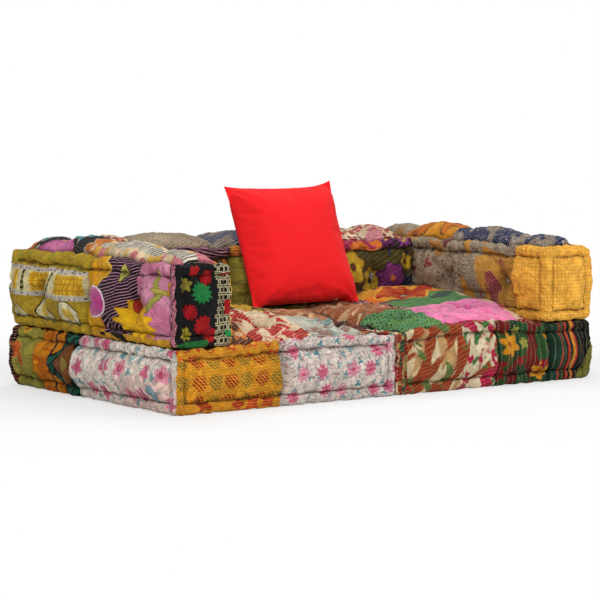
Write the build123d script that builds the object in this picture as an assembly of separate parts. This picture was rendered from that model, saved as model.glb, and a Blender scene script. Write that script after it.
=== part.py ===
from build123d import *
import os
from math import atan2, cos, hypot, radians, sin

# Modular patchwork pouf: two seat mattresses side by side, an arm bolster on each,
# a back bolster between the arms and one throw pillow. Millimetres, +Z up,
# front towards -Y, origin on the floor under the middle of the group.

# Driving sizes of the group
seat_length = 1000.0
depth = 1200.0
seat_height = 240.0
bolster_height = 300.0
arm_width = 250.0
back_thickness = 370.0
clearance = 0.3

# Cushion make-up: casing cloth, the stitched roll along every edge, the swell of the faces
cloth = 2.0
roll_radius = 21.0
groove_angle = 40.0
flat_cut = 0.5
bolster_crown = 17.0
seat_crown = 100.0
tuft_pinch = 7.0
overrun = 5.0

# Tufts: felt washers pulled in by twine
washer_radius = 20.0
washer_thickness = 4.0
twine_radius = 1.6
knot_radius = 4.5
tuft_reach = 62.0
tuft_depth = 24.0
mouth_lip = 5.0
under_reach = 40.0
under_depth = 10.5

# Throw pillow
pillow_size = 500.0
pillow_thickness = 170.0
pillow_lean = 23.0
pillow_offset = 40.0
pillow_cloth = 1.0
zip_length = 360.0
zip_width = 6.0
zip_thickness = 2.0
zip_notch = 15.0
slot_width = 2.4
slider_length = 11.0
slider_wall = 1.2
pull_length = 22.0
pull_width = 5.0
slide_gap = 0.2

# Where the tufts sit, as shares of the cushion's own length and depth
seat_tuft_shares = [1 / 6, 1 / 2, 5 / 6]
arm_tuft_shares = [0.21, 0.50, 0.79]
back_tuft_shares = [0.10, 0.34, 0.60, 0.86]
lobe_step_shares = [0.0, 0.22, 0.5, 0.78]

# The seat's dome in plan: height shares along its length, from the inner edge to the arm
dome_length_shares = [0.0, 0.06, 0.16, 0.33, 0.50, 0.67, 0.83, 0.93, 0.98, 1.0]
dome_height_shares = [0.04, 0.18, 0.36, 0.63, 0.86, 1.0, 0.96, 0.78, 0.45, 0.04]
# and the dome's profile from the front roll to the back bolster: place and height shares
dome_front_share = (0.36, 0.74)
dome_peak_share = 0.70
dome_rear_share = (0.84, 0.96)
dome_shoulder_share = (0.94, 0.80)
dome_foot_share = (0.985, 0.45)

front = -depth / 2
back_face = front + depth - back_thickness
arm_face = seat_length - arm_width
full_height = seat_height + bolster_height
slider_travel = zip_length - slider_length - 2 * pull_length


def turned(angle):
    """The unit step at an angle from the sideways direction, in a section."""
    return cos(radians(angle)), sin(radians(angle))


def cushion_section(x, width, height, low, roll, groove, crown, fullness):
    """One cross-section: flat underside, four corner rolls and bowed faces between them."""
    side = width / 2 - roll
    floor = low + roll
    top = low + height - roll
    swell = roll * (1 - turned(groove)[0])

    def point(sign, centre, angle):
        across, up = turned(angle)
        return Vector(x, sign * (side + roll * across), centre + roll * up)

    edges = [Line(Vector(x, -side, low), Vector(x, side, low))]
    bands = []
    for sign in (1, -1):
        lower = [point(sign, floor, angle) for angle in (-90, (groove - 90) / 2, groove)]
        upper = [point(sign, top, angle) for angle in (-groove, 45, 90 + groove)]
        belly = Vector(x, sign * (abs(lower[2].Y) + swell * fullness), low + height / 2)
        bands.append((lower, belly, upper))
    (lower, belly, upper), (lower_far, belly_far, upper_far) = bands
    edges.append(ThreePointArc(*lower))
    edges.append(ThreePointArc(lower[2], belly, upper[0]))
    edges.append(ThreePointArc(*upper))
    edges.append(ThreePointArc(upper[2], Vector(x, 0, upper[2].Z + swell + crown), upper_far[2]))
    edges.append(ThreePointArc(*reversed(upper_far)))
    edges.append(ThreePointArc(upper_far[0], belly_far, lower_far[2]))
    edges.append(ThreePointArc(*reversed(lower_far)))
    return Wire([edge.edge() for edge in edges])


def lofted(sections):
    """A solid through closed sections, straight from each to the next."""
    return Part() + Solid.make_loft(sections, ruled=True)


# Angles round the stitched roll that frames each end face, from its inner groove outwards
end_roll_angles = [-40.0, -5.0, 35.0, 65.0, 90.0, 125.0]
end_face_share = 2.6
end_groove_share = 0.35
shoulder_share = 0.5
tuft_full_share = 0.12


def cushion_form(length, width, height, tuft_shares, crown, dip, inset):
    """A rolled-edge box cushion along X, centred, standing on z = 0, shrunk by inset."""
    roll = roll_radius - inset
    half = length / 2 - inset
    across = width - 2 * inset
    low = inset if inset else -flat_cut
    tall = height - inset - low
    ends = [(0.0, end_face_share * roll)]
    for angle in end_roll_angles:
        step, rise = turned(angle)
        ends.append((roll * (1 - step), roll * (1 - rise)))

    def end_section(x, shrink):
        lift = shrink if x + half < roll or half - x < roll else 0
        return cushion_section(x, across - 2 * shrink, tall - shrink - lift, low + lift,
                               roll, groove_angle * end_groove_share, 0, 1)

    def body_section(x, fullness):
        pinch = tuft_pinch * (1 - fullness)
        return cushion_section(x, across - 2 * pinch, tall - dip * (1 - fullness), low, roll,
                               groove_angle, crown * fullness, fullness)

    stops = [0.0] + list(tuft_shares) + [1.0]
    first = ends[-1][0] + roll / 2
    body = [(-half + first, shoulder_share)]
    for start, stop in zip(stops, stops[1:]):
        for step in lobe_step_shares:
            place = -half + 2 * half * (start + (stop - start) * step)
            fullness = tuft_full_share + (1 - tuft_full_share) * sin(radians(180 * step))
            if abs(place) < half - 1.5 * first:
                body.append((place, fullness))
    body.append((half - first, shoulder_share))
    sections = [end_section(-half + x, shrink) for x, shrink in ends]
    sections += [body_section(x, fullness) for x, fullness in body]
    sections += [end_section(half - x, shrink) for x, shrink in reversed(ends)]
    form = lofted(sections)
    if inset:
        return form
    return form - Box(length, width, height, align=(Align.CENTER, Align.CENTER, Align.MAX))


def circle_through(first, middle, last):
    """Centre and radius of the circle through three (place, height) points."""
    (ax, ay), (bx, by), (cx, cy) = first, middle, last
    twice = 2 * (ax * (by - cy) + bx * (cy - ay) + cx * (ay - by))
    a, b, c = ax * ax + ay * ay, bx * bx + by * by, cx * cx + cy * cy
    ux = (a * (by - cy) + b * (cy - ay) + c * (ay - by)) / twice
    uy = (a * (cx - bx) + b * (ax - cx) + c * (bx - ax)) / twice
    return ux, uy, hypot(ax - ux, ay - uy)


dome_inner = 2 * roll_radius
dome_outer = arm_face - clearance
dome_front = front + 2 * roll_radius
dome_rear = back_face - clearance


def dome_points(height, inset):
    """The dome's profile front to rear: three arcs, each as (start, middle, end)."""
    run = dome_rear - dome_front

    def place(share, rise):
        y = dome_front + run * share
        y += inset * (1 - 2 * share)
        return y, height * rise - inset * rise

    foot, front_mid = place(0, 0), place(*dome_front_share)
    peak, rear_mid = place(dome_peak_share, 1), place(*dome_rear_share)
    shoulder, foot_mid, heel = place(*dome_shoulder_share), place(*dome_foot_share), place(1, 0)
    return [(foot, front_mid, peak), (peak, rear_mid, shoulder), (shoulder, foot_mid, heel)]


def dome_scale(x):
    """Share of the dome's full height at a distance x from the seat's inner edge."""
    along = (x - dome_inner) / (dome_outer - dome_inner)
    if along <= 0 or along >= 1:
        return 0.0
    pairs = list(zip(dome_length_shares, dome_height_shares))
    for (start, low), (stop, high) in zip(pairs, pairs[1:]):
        if start <= along <= stop:
            return low + (high - low) * (along - start) / (stop - start)
    return 0.0


def dome_top(x, y):
    """Height of the dome above the seat's rolls at a place on the seat."""
    height = seat_crown * dome_scale(x)
    if height <= 0 or y <= dome_front or y >= dome_rear:
        return 0.0
    for first, middle, last in dome_points(height, 0):
        if first[0] <= y <= last[0]:
            cx, cy, radius = circle_through(first, middle, last)
            reach = max(radius ** 2 - (y - cx) ** 2, 0) ** 0.5
            return cy + reach if middle[1] > cy else cy - reach
    return 0.0


def seat_dome(inset):
    """The swell of the seat between the arm and the back bolster."""
    top = seat_height - inset
    sunk = 2 * cloth + overrun
    sections = []
    for share, rise in zip(dome_length_shares, dome_height_shares):
        x = dome_inner + (dome_outer - dome_inner) * share + inset * (1 - 2 * share)
        height = seat_crown * rise
        arcs = [[Vector(x, y, top + z) for y, z in arc] for arc in dome_points(height, 0)]
        low_front = Vector(x, arcs[0][0].Y + inset, top - sunk)
        low_rear = Vector(x, arcs[2][2].Y - inset, top - sunk)
        foot, heel = Vector(x, low_front.Y, top), Vector(x, low_rear.Y, top)
        arcs[0][0], arcs[2][2] = foot, heel
        edges = [Line(low_front, low_rear), Line(low_rear, heel)]
        edges += [ThreePointArc(*reversed(arc)) for arc in reversed(arcs)]
        edges.append(Line(foot, low_front))
        sections.append(Wire([edge.edge() for edge in edges]))
    return lofted(sections)


def dimple(reach, floor_radius, drop, inset):
    """The hollow that a tuft pulls into a face: a bell mouth down to a flat floor on z = -drop."""
    reach, floor_radius, drop = reach + inset, floor_radius + inset, drop + inset
    lip = mouth_lip - inset
    run, fall = reach - floor_radius, drop + lip
    bend = (run ** 2 + fall ** 2) / (2 * fall)
    half_turn = atan2(run, bend - fall) / 2
    mid = (reach - bend * sin(half_turn), lip - bend * (1 - cos(half_turn)))
    rise = drop + overrun
    outline = [
        Line((0, -drop), (floor_radius, -drop)),
        ThreePointArc((floor_radius, -drop), mid, (reach, lip)),
        Line((reach, lip), (reach, rise)),
        Line((reach, rise), (0, rise)),
        Line((0, rise), (0, -drop)),
    ]
    profile = make_face(Wire([edge.edge() for edge in outline]))
    return revolve(Plane.XZ * profile, Axis.Z)


def on_plane(piece, origin, normal):
    """A piece modelled on z = 0, moved to a place with its +Z along the normal."""
    return Plane(origin=origin, z_dir=normal).location * piece


def rod(radius, start, stop):
    """A round bar between two points."""
    start, stop = Vector(*start), Vector(*stop)
    bar = Cylinder(radius, (stop - start).length, align=(Align.CENTER, Align.CENTER, Align.MIN))
    return on_plane(bar, start, stop - start)


def washer():
    """A felt washer standing on z = 0."""
    return Cylinder(washer_radius, washer_thickness, align=(Align.CENTER, Align.CENTER, Align.MIN))


def knot():
    """Half a ball of knotted twine, flat side on z = 0."""
    ball = Sphere(knot_radius)
    return ball - Box(3 * knot_radius, 3 * knot_radius, 3 * knot_radius,
                      align=(Align.CENTER, Align.CENTER, Align.MAX))


def tufted(forms, tufts, slab):
    """The five pieces of a tufted cushion from its outer, cavity and filling forms.

    Each tuft is a pair of ends, and each end is (mouth centre, outward normal, reach, depth).
    """
    insets = [0.0, cloth, cloth + clearance]
    shaped = []
    for form, inset in zip(forms, insets):
        hollows = [on_plane(dimple(reach, washer_radius, drop, inset), mouth, normal)
                   for tuft in tufts for mouth, normal, reach, drop in tuft]
        shaped.append(form - hollows)
    outer, cavity, filling = shaped
    washers, twines, bores = [], [], []
    for tuft in tufts:
        seats = [mouth - normal * drop for mouth, normal, reach, drop in tuft]
        tips = [seat + end[1] * washer_thickness for seat, end in zip(seats, tuft)]
        pull = (tips[1] - tips[0]).normalized()
        bore = rod(twine_radius + clearance, tips[0] - pull * overrun, tips[1] + pull * overrun)
        bores.append(bore)
        washers += [on_plane(washer(), seat, end[1]) - bore for seat, end in zip(seats, tuft)]
        twine = rod(twine_radius, tips[0] - pull * twine_radius, tips[1] + pull * twine_radius)
        for tip, end in zip(tips, tuft):
            twine = twine + on_plane(knot(), tip, end[1])
        twines.append(twine)
    cover = outer - [cavity] - bores
    return {
        "cover": cover - slab,
        "base_cloth": cover & slab,
        "filling": filling - bores,
        "washers": Part() + washers,
        "twine": Part() + twines,
    }


def bolster(length, width, tuft_shares):
    """An arm or back bolster along X, centred, with its tufts pulled in from side to side."""
    forms = [cushion_form(length, width, bolster_height, tuft_shares, bolster_crown, tuft_pinch, inset)
             for inset in (0.0, cloth, cloth + clearance)]
    face = width / 2 - tuft_pinch
    middle = bolster_height / 2
    tufts = []
    for share in tuft_shares:
        x = length * (share - 0.5)
        tufts.append([(Vector(x, side * face, middle), Vector(0, side, 0), tuft_reach, tuft_depth)
                      for side in (-1, 1)])
    slab = Box(2 * length, 2 * width, cloth, align=(Align.CENTER, Align.CENTER, Align.MIN))
    return tufted(forms, tufts, slab)


def seat():
    """The right-hand seat mattress, its inner edge on x = 0, tufted from top to underside."""
    forms = []
    for inset in (0.0, cloth, cloth + clearance):
        block = cushion_form(seat_length, depth, seat_height, seat_tuft_shares, 0, 0, inset)
        forms.append(Pos(seat_length / 2, 0, 0) * block + seat_dome(inset))
    slab = Pos(seat_length / 2, 0, 0) * Box(2 * seat_length, 2 * depth, cloth,
                                            align=(Align.CENTER, Align.CENTER, Align.MIN))
    cups = []
    tufts = []
    for along in seat_tuft_shares:
        for back in seat_tuft_shares:
            x, y = seat_length * along, front + depth * back
            mouth = Vector(x, y, seat_height + dome_top(x, y))
            slope_x = (dome_top(x + cloth, y) - dome_top(x - cloth, y)) / (2 * cloth)
            slope_y = (dome_top(x, y + cloth) - dome_top(x, y - cloth)) / (2 * cloth)
            normal = Vector(-slope_x, -slope_y, 1).normalized()
            pull = mouth - normal * tuft_depth
            under = Vector(pull.X, pull.Y, 0)
            tufts.append([(under, Vector(0, 0, -1), under_reach, under_depth),
                          (mouth, normal, tuft_reach, tuft_depth)])
            cup = Cylinder(under_reach + 2 * cloth, under_depth + 2 * cloth,
                           align=(Align.CENTER, Align.CENTER, Align.MIN))
            cups.append(Pos(pull.X, pull.Y, 0) * cup)
    pieces = tufted(forms, tufts, slab + cups)
    # The wadding lies in two layers, a flat body and the crown above the rolls
    parting = Pos(seat_length / 2, 0, seat_height) * Box(2 * seat_length, 2 * depth, clearance,
                                                         align=(Align.CENTER, Align.CENTER, Align.MAX))
    pieces["filling"] = pieces["filling"] - parting
    return pieces


# The pillow's outlines from its seam to the crown of a face: thickness, size, bow and corner shares
pillow_shares = [
    (0.00, 1.000, -0.050, 0.04),
    (0.09, 0.975, -0.036, 0.07),
    (0.30, 0.910, -0.010, 0.12),
    (0.56, 0.795, 0.022, 0.20),
    (0.79, 0.630, 0.055, 0.32),
    (0.94, 0.430, 0.080, 0.50),
    (1.00, 0.210, 0.090, 0.70),
]
corner_bulge_share = 0.22


def pillow_outline(level, size, bow, corner, inset):
    """A square outline with rounded corners and bowed sides, parallel to the seam."""
    half = pillow_size / 2 * size - inset
    cut = half * corner
    swell = half * bow
    z = (pillow_thickness / 2 - inset) * level
    edges = []
    for quarter in range(4):
        turn = Rot(0, 0, 90 * quarter)
        side = [(half, cut - half), (half + swell, 0), (half, half - cut)]
        tuck = half - cut * corner_bulge_share
        bend = [(half, half - cut), (tuck, tuck), (half - cut, half)]
        edges += [turn * ThreePointArc(*[(x, y, z) for x, y in arc]) for arc in (side, bend)]
    return Wire([edge.edge() for edge in edges])


def pillow_form(inset):
    """The plump square pillow, upright in the XZ plane, its bottom seam corners on z = 0."""
    levels = [(-row[0],) + row[1:] for row in reversed(pillow_shares[1:])] + pillow_shares
    form = lofted([pillow_outline(*level, inset) for level in levels])
    notch = Box(zip_length + 2 * inset, pillow_thickness, zip_notch + inset,
                align=(Align.CENTER, Align.CENTER, Align.MIN))
    return Pos(0, 0, pillow_size / 2) * (Rot(90, 0, 0) * form) - notch


def pillow_rear():
    """The pillow's rear face in its own middle plane, as (height, thickness) points."""
    half, deep = pillow_size / 2, pillow_thickness / 2
    lower = [(half - half * size * (1 + bow), deep * level) for level, size, bow, corner in pillow_shares]
    upper = [(half + half * size * (1 + bow), deep * level) for level, size, bow, corner in pillow_shares]
    return lower + list(reversed(upper))


def reach_to_line(point, start, stop):
    """Distance from a point to a straight stretch."""
    run, rise = stop[0] - start[0], stop[1] - start[1]
    share = ((point[0] - start[0]) * run + (point[1] - start[1]) * rise) / (run * run + rise * rise)
    share = min(max(share, 0), 1)
    return hypot(point[0] - start[0] - share * run, point[1] - start[1] - share * rise)


def pillow_rest(y):
    """Height of the pillow's bottom corners when they stand on the seats at a depth y."""
    foot = pillow_size / 2 * (1 - pillow_shares[0][3])
    ends = [abs(pillow_offset + side * foot) - clearance / 2 for side in (-1, 1)]
    return seat_height + max(dome_top(x, y) for x in ends) + 3 * clearance


def pillow_gap(y):
    """Gap between the leaning pillow's rear face and the back bolster's upper front roll."""
    z = pillow_rest(y)
    lean_y, lean_z = sin(radians(pillow_lean)), cos(radians(pillow_lean))
    line = [(y + up * lean_y + out * lean_z, z + up * lean_z - out * lean_y) for up, out in pillow_rear()]
    roll = (back_face + roll_radius, full_height + clearance - roll_radius)
    return min(reach_to_line(roll, *pair) for pair in zip(line, line[1:])) - roll_radius


def pillow_place():
    """Where the bottom seam stands so that the pillow just leans on the back bolster."""
    y = front
    room = pillow_gap(y) - clearance
    while room > clearance / 10:
        y += room / 2
        room = pillow_gap(y) - clearance
    return y


def zip_slider():
    """The slider: a channel that runs on the zip from below, with its pull tab."""
    width = zip_width + 2 * (slide_gap + slider_wall)
    tall = zip_thickness + slider_wall
    body = Box(slider_length, width, tall, align=(Align.CENTER, Align.CENTER, Align.MAX))
    channel = Box(2 * slider_length, zip_width + 2 * slide_gap, zip_thickness + slide_gap,
                  align=(Align.CENTER, Align.CENTER, Align.MAX))
    tab = Pos(-slider_length / 2, 0, -tall) * Box(pull_length, pull_width, slider_wall,
                                                  align=(Align.CENTER, Align.CENTER, Align.MAX))
    eye = Pos(-pull_length / 2, 0, -tall) * Cylinder(pull_width / 4, 4 * slider_wall)
    return Pos(0, 0, -slide_gap) * (body - channel + tab - eye)


def pillow():
    """The throw pillow with its insert and the zip along its bottom seam, upright."""
    cover = pillow_form(0.0) - pillow_form(pillow_cloth)
    slot = Box(zip_length - 2 * slot_width, slot_width, 2 * zip_notch)
    rail = Pos(0, 0, zip_notch) * Box(zip_length, zip_width, zip_thickness,
                                      align=(Align.CENTER, Align.CENTER, Align.MAX))
    return {
        "cover": cover - slot,
        "filling": pillow_form(pillow_cloth + clearance),
        "zip": rail,
        "zip_slider": Pos(slider_travel / 2, 0, zip_notch) * zip_slider(),
    }


def build():
    """Every piece of the group by name, in place."""
    pieces = {}
    half_gap = clearance / 2
    right_seat = {name: Pos(half_gap, 0, 0) * piece for name, piece in seat().items()}
    arm_x = half_gap + seat_length - arm_width / 2
    above = seat_height + clearance
    arm = bolster(depth, arm_width, arm_tuft_shares)
    right_arm = {name: Pos(arm_x, 0, above) * Rot(0, 0, 90) * piece for name, piece in arm.items()}
    for name, piece in right_seat.items():
        pieces["seat_right_" + name] = piece
        pieces["seat_left_" + name] = mirror(piece, about=Plane.YZ)
    for name, piece in right_arm.items():
        pieces["arm_right_" + name] = piece
        pieces["arm_left_" + name] = mirror(piece, about=Plane.YZ)
    back_length = 2 * (half_gap + arm_face - clearance)
    back_y = back_face + back_thickness / 2
    for name, piece in bolster(back_length, back_thickness, back_tuft_shares).items():
        pieces["back_" + name] = Pos(0, back_y, above) * piece
    y = pillow_place()
    place = Pos(pillow_offset, y, pillow_rest(y)) * Rot(-pillow_lean, 0, 0)
    for name, piece in pillow().items():
        pieces["pillow_" + name] = place * piece
    return pieces


if __name__ == "__main__":
    os.makedirs("parts", exist_ok=True)
    for name, piece in build().items():
        export_step(piece, "parts/" + name + ".step")
        print(name, len(piece.solids()), round(piece.volume))
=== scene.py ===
import math
from functools import partial
from types import SimpleNamespace

import bpy
import numpy as np
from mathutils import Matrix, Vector


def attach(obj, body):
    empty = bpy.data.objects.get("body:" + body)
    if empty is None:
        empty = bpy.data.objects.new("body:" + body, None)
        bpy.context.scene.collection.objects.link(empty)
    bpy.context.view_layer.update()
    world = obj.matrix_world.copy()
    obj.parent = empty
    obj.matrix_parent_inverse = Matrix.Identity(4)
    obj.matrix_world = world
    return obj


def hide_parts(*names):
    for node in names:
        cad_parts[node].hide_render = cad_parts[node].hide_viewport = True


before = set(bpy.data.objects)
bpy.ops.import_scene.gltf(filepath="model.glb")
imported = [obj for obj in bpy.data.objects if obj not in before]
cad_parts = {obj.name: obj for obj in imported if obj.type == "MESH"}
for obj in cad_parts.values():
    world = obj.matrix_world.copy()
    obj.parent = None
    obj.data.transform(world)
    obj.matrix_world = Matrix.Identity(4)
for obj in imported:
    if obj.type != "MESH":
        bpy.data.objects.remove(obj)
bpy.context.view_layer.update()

# Seat mattresses: two cotton-stuffed mattresses, 1000 x 1200 x 240 mm, pieced from block-printed
# and kantha-stitched cotton. Every edge is rolled and stitched through, and nine twine tufts with
# felt washers pull the top down to the underside, so the middle swells into a crown.


def dye(code):
    """A colour from its six hex digits."""
    parts = [int(code[i:i + 2], 16) / 255 for i in (0, 2, 4)]
    return [c / 12.92 if c <= 0.04045 else ((c + 0.055) / 1.055) ** 2.4 for c in parts] + [1.0]


class Field:
    """A value that changes over the surface; sums and products of fields add the nodes for them."""

    def __init__(self, socket):
        self.socket = socket

    def __add__(self, other):
        return calc("ADD", self, other)

    def __sub__(self, other):
        return calc("SUBTRACT", self, other)

    def __rsub__(self, other):
        return calc("SUBTRACT", other, self)

    def __mul__(self, other):
        return calc("MULTIPLY", self, other)

    def __truediv__(self, other):
        return calc("DIVIDE", self, other)

    def __abs__(self):
        return calc("ABSOLUTE", self)


def plug_in(socket, plug):
    """Links a field to a socket or sets the socket to a plain value; None leaves it as it is."""
    if isinstance(plug, Field):
        socket.id_data.links.new(plug.socket, socket)
    elif plug is not None:
        socket.default_value = plug


def add(tree, kind, *plugs, **settings):
    """A node with its settings; the plugs fill its sockets in order."""
    node = tree.nodes.new(kind)
    for key, value in settings.items():
        setattr(node, key, value)
    for socket, plug in zip(node.inputs, plugs):
        plug_in(socket, plug)
    return node


def home(plugs):
    return next(plug.socket.id_data for plug in plugs if isinstance(plug, Field))


def made(kind, *plugs, **settings):
    """The outputs of a new node that stands in the same tree as its plugs."""
    return [Field(socket) for socket in add(home(plugs), kind, *plugs, **settings).outputs]


def calc(operation, *plugs, clamp=False):
    return made("ShaderNodeMath", *plugs, operation=operation, use_clamp=clamp)[0]


def distance(across, along):
    spot = made("ShaderNodeCombineXYZ", across, along)[0]
    return made("ShaderNodeVectorMath", spot, operation="LENGTH")[1]


def noise(place, scale, detail, rough=0.5, twist=0.0):
    return made("ShaderNodeTexNoise", place, None, scale, detail, rough, 2.0, None, None, twist)[0]


def dyed(mask, cloth, colour):
    """The cloth with a colour laid where the mask is 1."""
    node = add(home((mask, cloth, colour)), "ShaderNodeMix", data_type="RGBA")
    for index, plug in ((0, mask), (6, cloth), (7, colour)):
        plug_in(node.inputs[index], plug)
    return Field(node.outputs[2])


def new_group(name, gives, **sockets):
    """An empty node group and its inputs: None stands for a place, a list for a colour and a number for
    a size."""
    tree = bpy.data.node_groups.new(name, "ShaderNodeTree")
    for label, value in sockets.items():
        kind = "Color" if isinstance(value, list) else "Vector" if value is None else "Float"
        socket = tree.interface.new_socket(name=label.replace("_", " ").title(), in_out="INPUT",
                                           socket_type="NodeSocket" + kind)
        if value is not None:
            socket.default_value = value
    for label, kind in gives.items():
        tree.interface.new_socket(name=label, in_out="OUTPUT", socket_type="NodeSocket" + kind)
    given = tree.nodes.new("NodeGroupInput").outputs
    return tree, SimpleNamespace(**{label: Field(socket) for label, socket in zip(sockets, given)})


blocks = {}
black = dye("000000")


def printing_block(kind, name, gives="Color", **sockets):
    """A node group that takes the cloth so far and the place on it."""
    blocks[kind], g = new_group(name, {"Cloth": gives}, cloth=dye("ffffff"), place=None, **sockets)
    across, along, _ = made("ShaderNodeSeparateXYZ", g.place)
    return g, across, along


def deliver(*fields):
    add(home(fields), "NodeGroupOutput", *fields)


def crisp(edge, sharpness):
    return calc("MULTIPLY_ADD", edge, sharpness, 0.5, clamp=True)


def turned(across, along, turn):
    """The distance along a direction turned by an angle from across."""
    return across * calc("COSINE", turn) + along * calc("SINE", turn)


quarter = 1.5708

# a repeated motif: flower, disc or diamond in staggered rows
g, u, v = printing_block("print", "block print", cell=0.07, tall=1.0, stagger=0.5, petals=0.0, depth=0.0,
                         size=0.35, heart=0.1, diamond=0.0, hatch=0.0, columns=0.0, show=1.0, rim=0.0,
                         motif=black, second=black, core=black, outline=black)
gy = v / (g.cell * g.tall)
row = calc("FLOOR", gy)
gx = calc("MULTIPLY_ADD", calc("FLOORED_MODULO", row, 2.0), g.stagger, u / g.cell)
column = calc("FLOOR", gx)
cell = made("ShaderNodeCombineXYZ", column, row)[0]
chance = made("ShaderNodeTexWhiteNoise", cell, noise_dimensions="2D")[1]
tone, chance_two, chance_three = made("ShaderNodeSeparateColor", chance)
stray = (1.0 - g.show) * 0.6
qx = calc("MULTIPLY_ADD", tone - 0.5, stray, gx - column) - 0.5
qy = (calc("MULTIPLY_ADD", chance_three - 0.5, stray, gy - row) - 0.5) * g.tall
radius = distance(qx, qy)
radius = calc("MULTIPLY_ADD", abs(qx) + abs(qy) - radius, g.diamond, radius)
bend = calc("MULTIPLY_ADD", calc("ARCTAN2", qy, qx), g.petals, tone * 6.28)
petal = calc("MULTIPLY_ADD", calc("COSINE", bend), g.depth, 1.0)
edge = calc("MULTIPLY_ADD", noise(g.place, 55.0, 2.0) - 0.5, 0.12, g.size * petal - radius)
shown = calc("LESS_THAN", chance_two, g.show)
hatch = crisp(calc("SINE", (qx + qy) * g.hatch) + 0.35, 3.0)
inside = crisp(edge, 14.0) * hatch * shown
heart = crisp(g.heart - radius, 20.0) * shown
rim = crisp(g.rim - abs(edge), 30.0) * shown * calc("GREATER_THAN", g.rim, 0.0)
by_chance = calc("GREATER_THAN", tone, 0.5)
pick = calc("MULTIPLY_ADD", calc("FLOORED_MODULO", column, 2.0) - by_chance, g.columns, by_chance)
cloth = dyed(inside, g.cloth, dyed(pick, g.motif, g.second))
deliver(dyed(heart, dyed(rim, cloth, g.outline), g.core))

# stripes, straight or wavy
g, u, v = printing_block("stripes", "stripes", turn=0.0, pitch=0.03, share=0.5, wave=0.0, wave_scale=8.0,
                         stripe=black)
sway = noise(g.place, g.wave_scale, 1.0) - 0.5
step = calc("MULTIPLY_ADD", sway, g.wave, turned(u, v, g.turn)) / g.pitch
edge = g.share - abs(calc("FRACT", step) - 0.5) * 2.0
deliver(dyed(crisp(edge, 5.0), g.cloth, g.stripe))

# thin scrolling lines
g, _, _ = printing_block("scrolls", "scrolls", scale=20.0, width=0.02, curl=1.0, line=black)
edge = g.width - abs(noise(g.place, g.scale, 1.0, twist=g.curl) - 0.5)
deliver(dyed(crisp(edge, 60.0), g.cloth, g.line))

# loose blots, drawn out along a direction
g, u, v = printing_block("blots", "blots", scale=12.0, level=0.55, turn=0.0, stretch=1.0, shift=0.0,
                         blot=black)
drawn_out = turned(u, v, g.turn) / g.stretch
lie = made("ShaderNodeCombineXYZ", drawn_out, turned(u, v, g.turn + quarter), g.shift)[0]
deliver(dyed(crisp(noise(lie, g.scale, 2.0, twist=0.6) - g.level, 30.0), g.cloth, g.blot))

# small dots strewn about
g, _, _ = printing_block("specks", "specks", scale=60.0, size=0.25, speck=black)
spot = made("ShaderNodeTexVoronoi", g.place, None, g.scale)[0]
deliver(dyed(crisp(g.size - spot, 9.0), g.cloth, g.speck))

# rows of running stitches
g, u, v = printing_block("stitch", "running stitch", row=0.012, stitch=0.008, turn=0.0, thick=0.2,
                         thread=dye("f4efe2"))
across_rows = turned(u, v, g.turn + quarter) / g.row
jump = calc("FRACT", calc("SINE", calc("FLOOR", across_rows)) * 43.7)
dash = calc("FRACT", turned(u, v, g.turn) / g.stitch + jump)
line = abs(calc("FRACT", across_rows) - 0.5)
deliver(dyed(crisp(g.thick - line, 8.0) * calc("LESS_THAN", dash, 0.5), g.cloth, g.thread))

# woven or printed checks
g, u, v = printing_block("check", "check", wide=0.02, tall=0.02, line=0.3, ink=black)
lines = []
for way, pitch in ((u, g.wide), (v, g.tall)):
    near = abs(calc("FRACT", way / pitch) - 0.5)
    lines.append(crisp(near - calc("MULTIPLY_ADD", g.line, -0.5, 0.5), 12.0))
deliver(dyed(calc("MAXIMUM", *lines), g.cloth, g.ink))

# one large flower or leaf at its place
g, u, v = printing_block("flower", "flower", x=0.0, y=0.0, radius=0.05, tall=1.0, petals=5.0, depth=0.2,
                         turn=0.0, heart=0.3, ragged=0.1, petal=black, core=black, outline=black)
dx, dy = u - g.x, v - g.y
tx = turned(dx, dy, g.turn)
ty = turned(dx, dy, g.turn + quarter) / g.tall
radius = distance(tx, ty) / g.radius
fold = calc("COSINE", calc("ARCTAN2", ty, tx) * g.petals)
smudge = noise(g.place, 95.0, 2.0) - 0.5
edge = calc("MULTIPLY_ADD", smudge, g.ragged, calc("MULTIPLY_ADD", fold, g.depth, 1.0)) - radius
veins = (1.0 - abs(fold)) * radius
ink = dyed(calc("MULTIPLY", veins, 0.35, clamp=True), g.petal, g.outline)
cloth = dyed(crisp(edge, 18.0), g.cloth, ink)
cloth = dyed(crisp(0.05 - abs(edge), 25.0), cloth, g.outline)
deliver(dyed(crisp(g.heart - radius, 12.0), cloth, g.core))

# a panel of another cloth, with a wavering edge
g, u, v = printing_block("panel", "panel", "Float", left=-9.0, right=9.0, low=-9.0, high=9.0, waver=0.0)
sway = noise(g.place, 9.0, 1.0) - 0.5
su, sv = [calc("MULTIPLY_ADD", sway, g.waver, way) for way in (u, v)]
deliver(crisp(calc("MINIMUM", calc("MINIMUM", su - g.left, g.right - su),
                   calc("MINIMUM", sv - g.low, g.high - sv)), 900.0))

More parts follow.
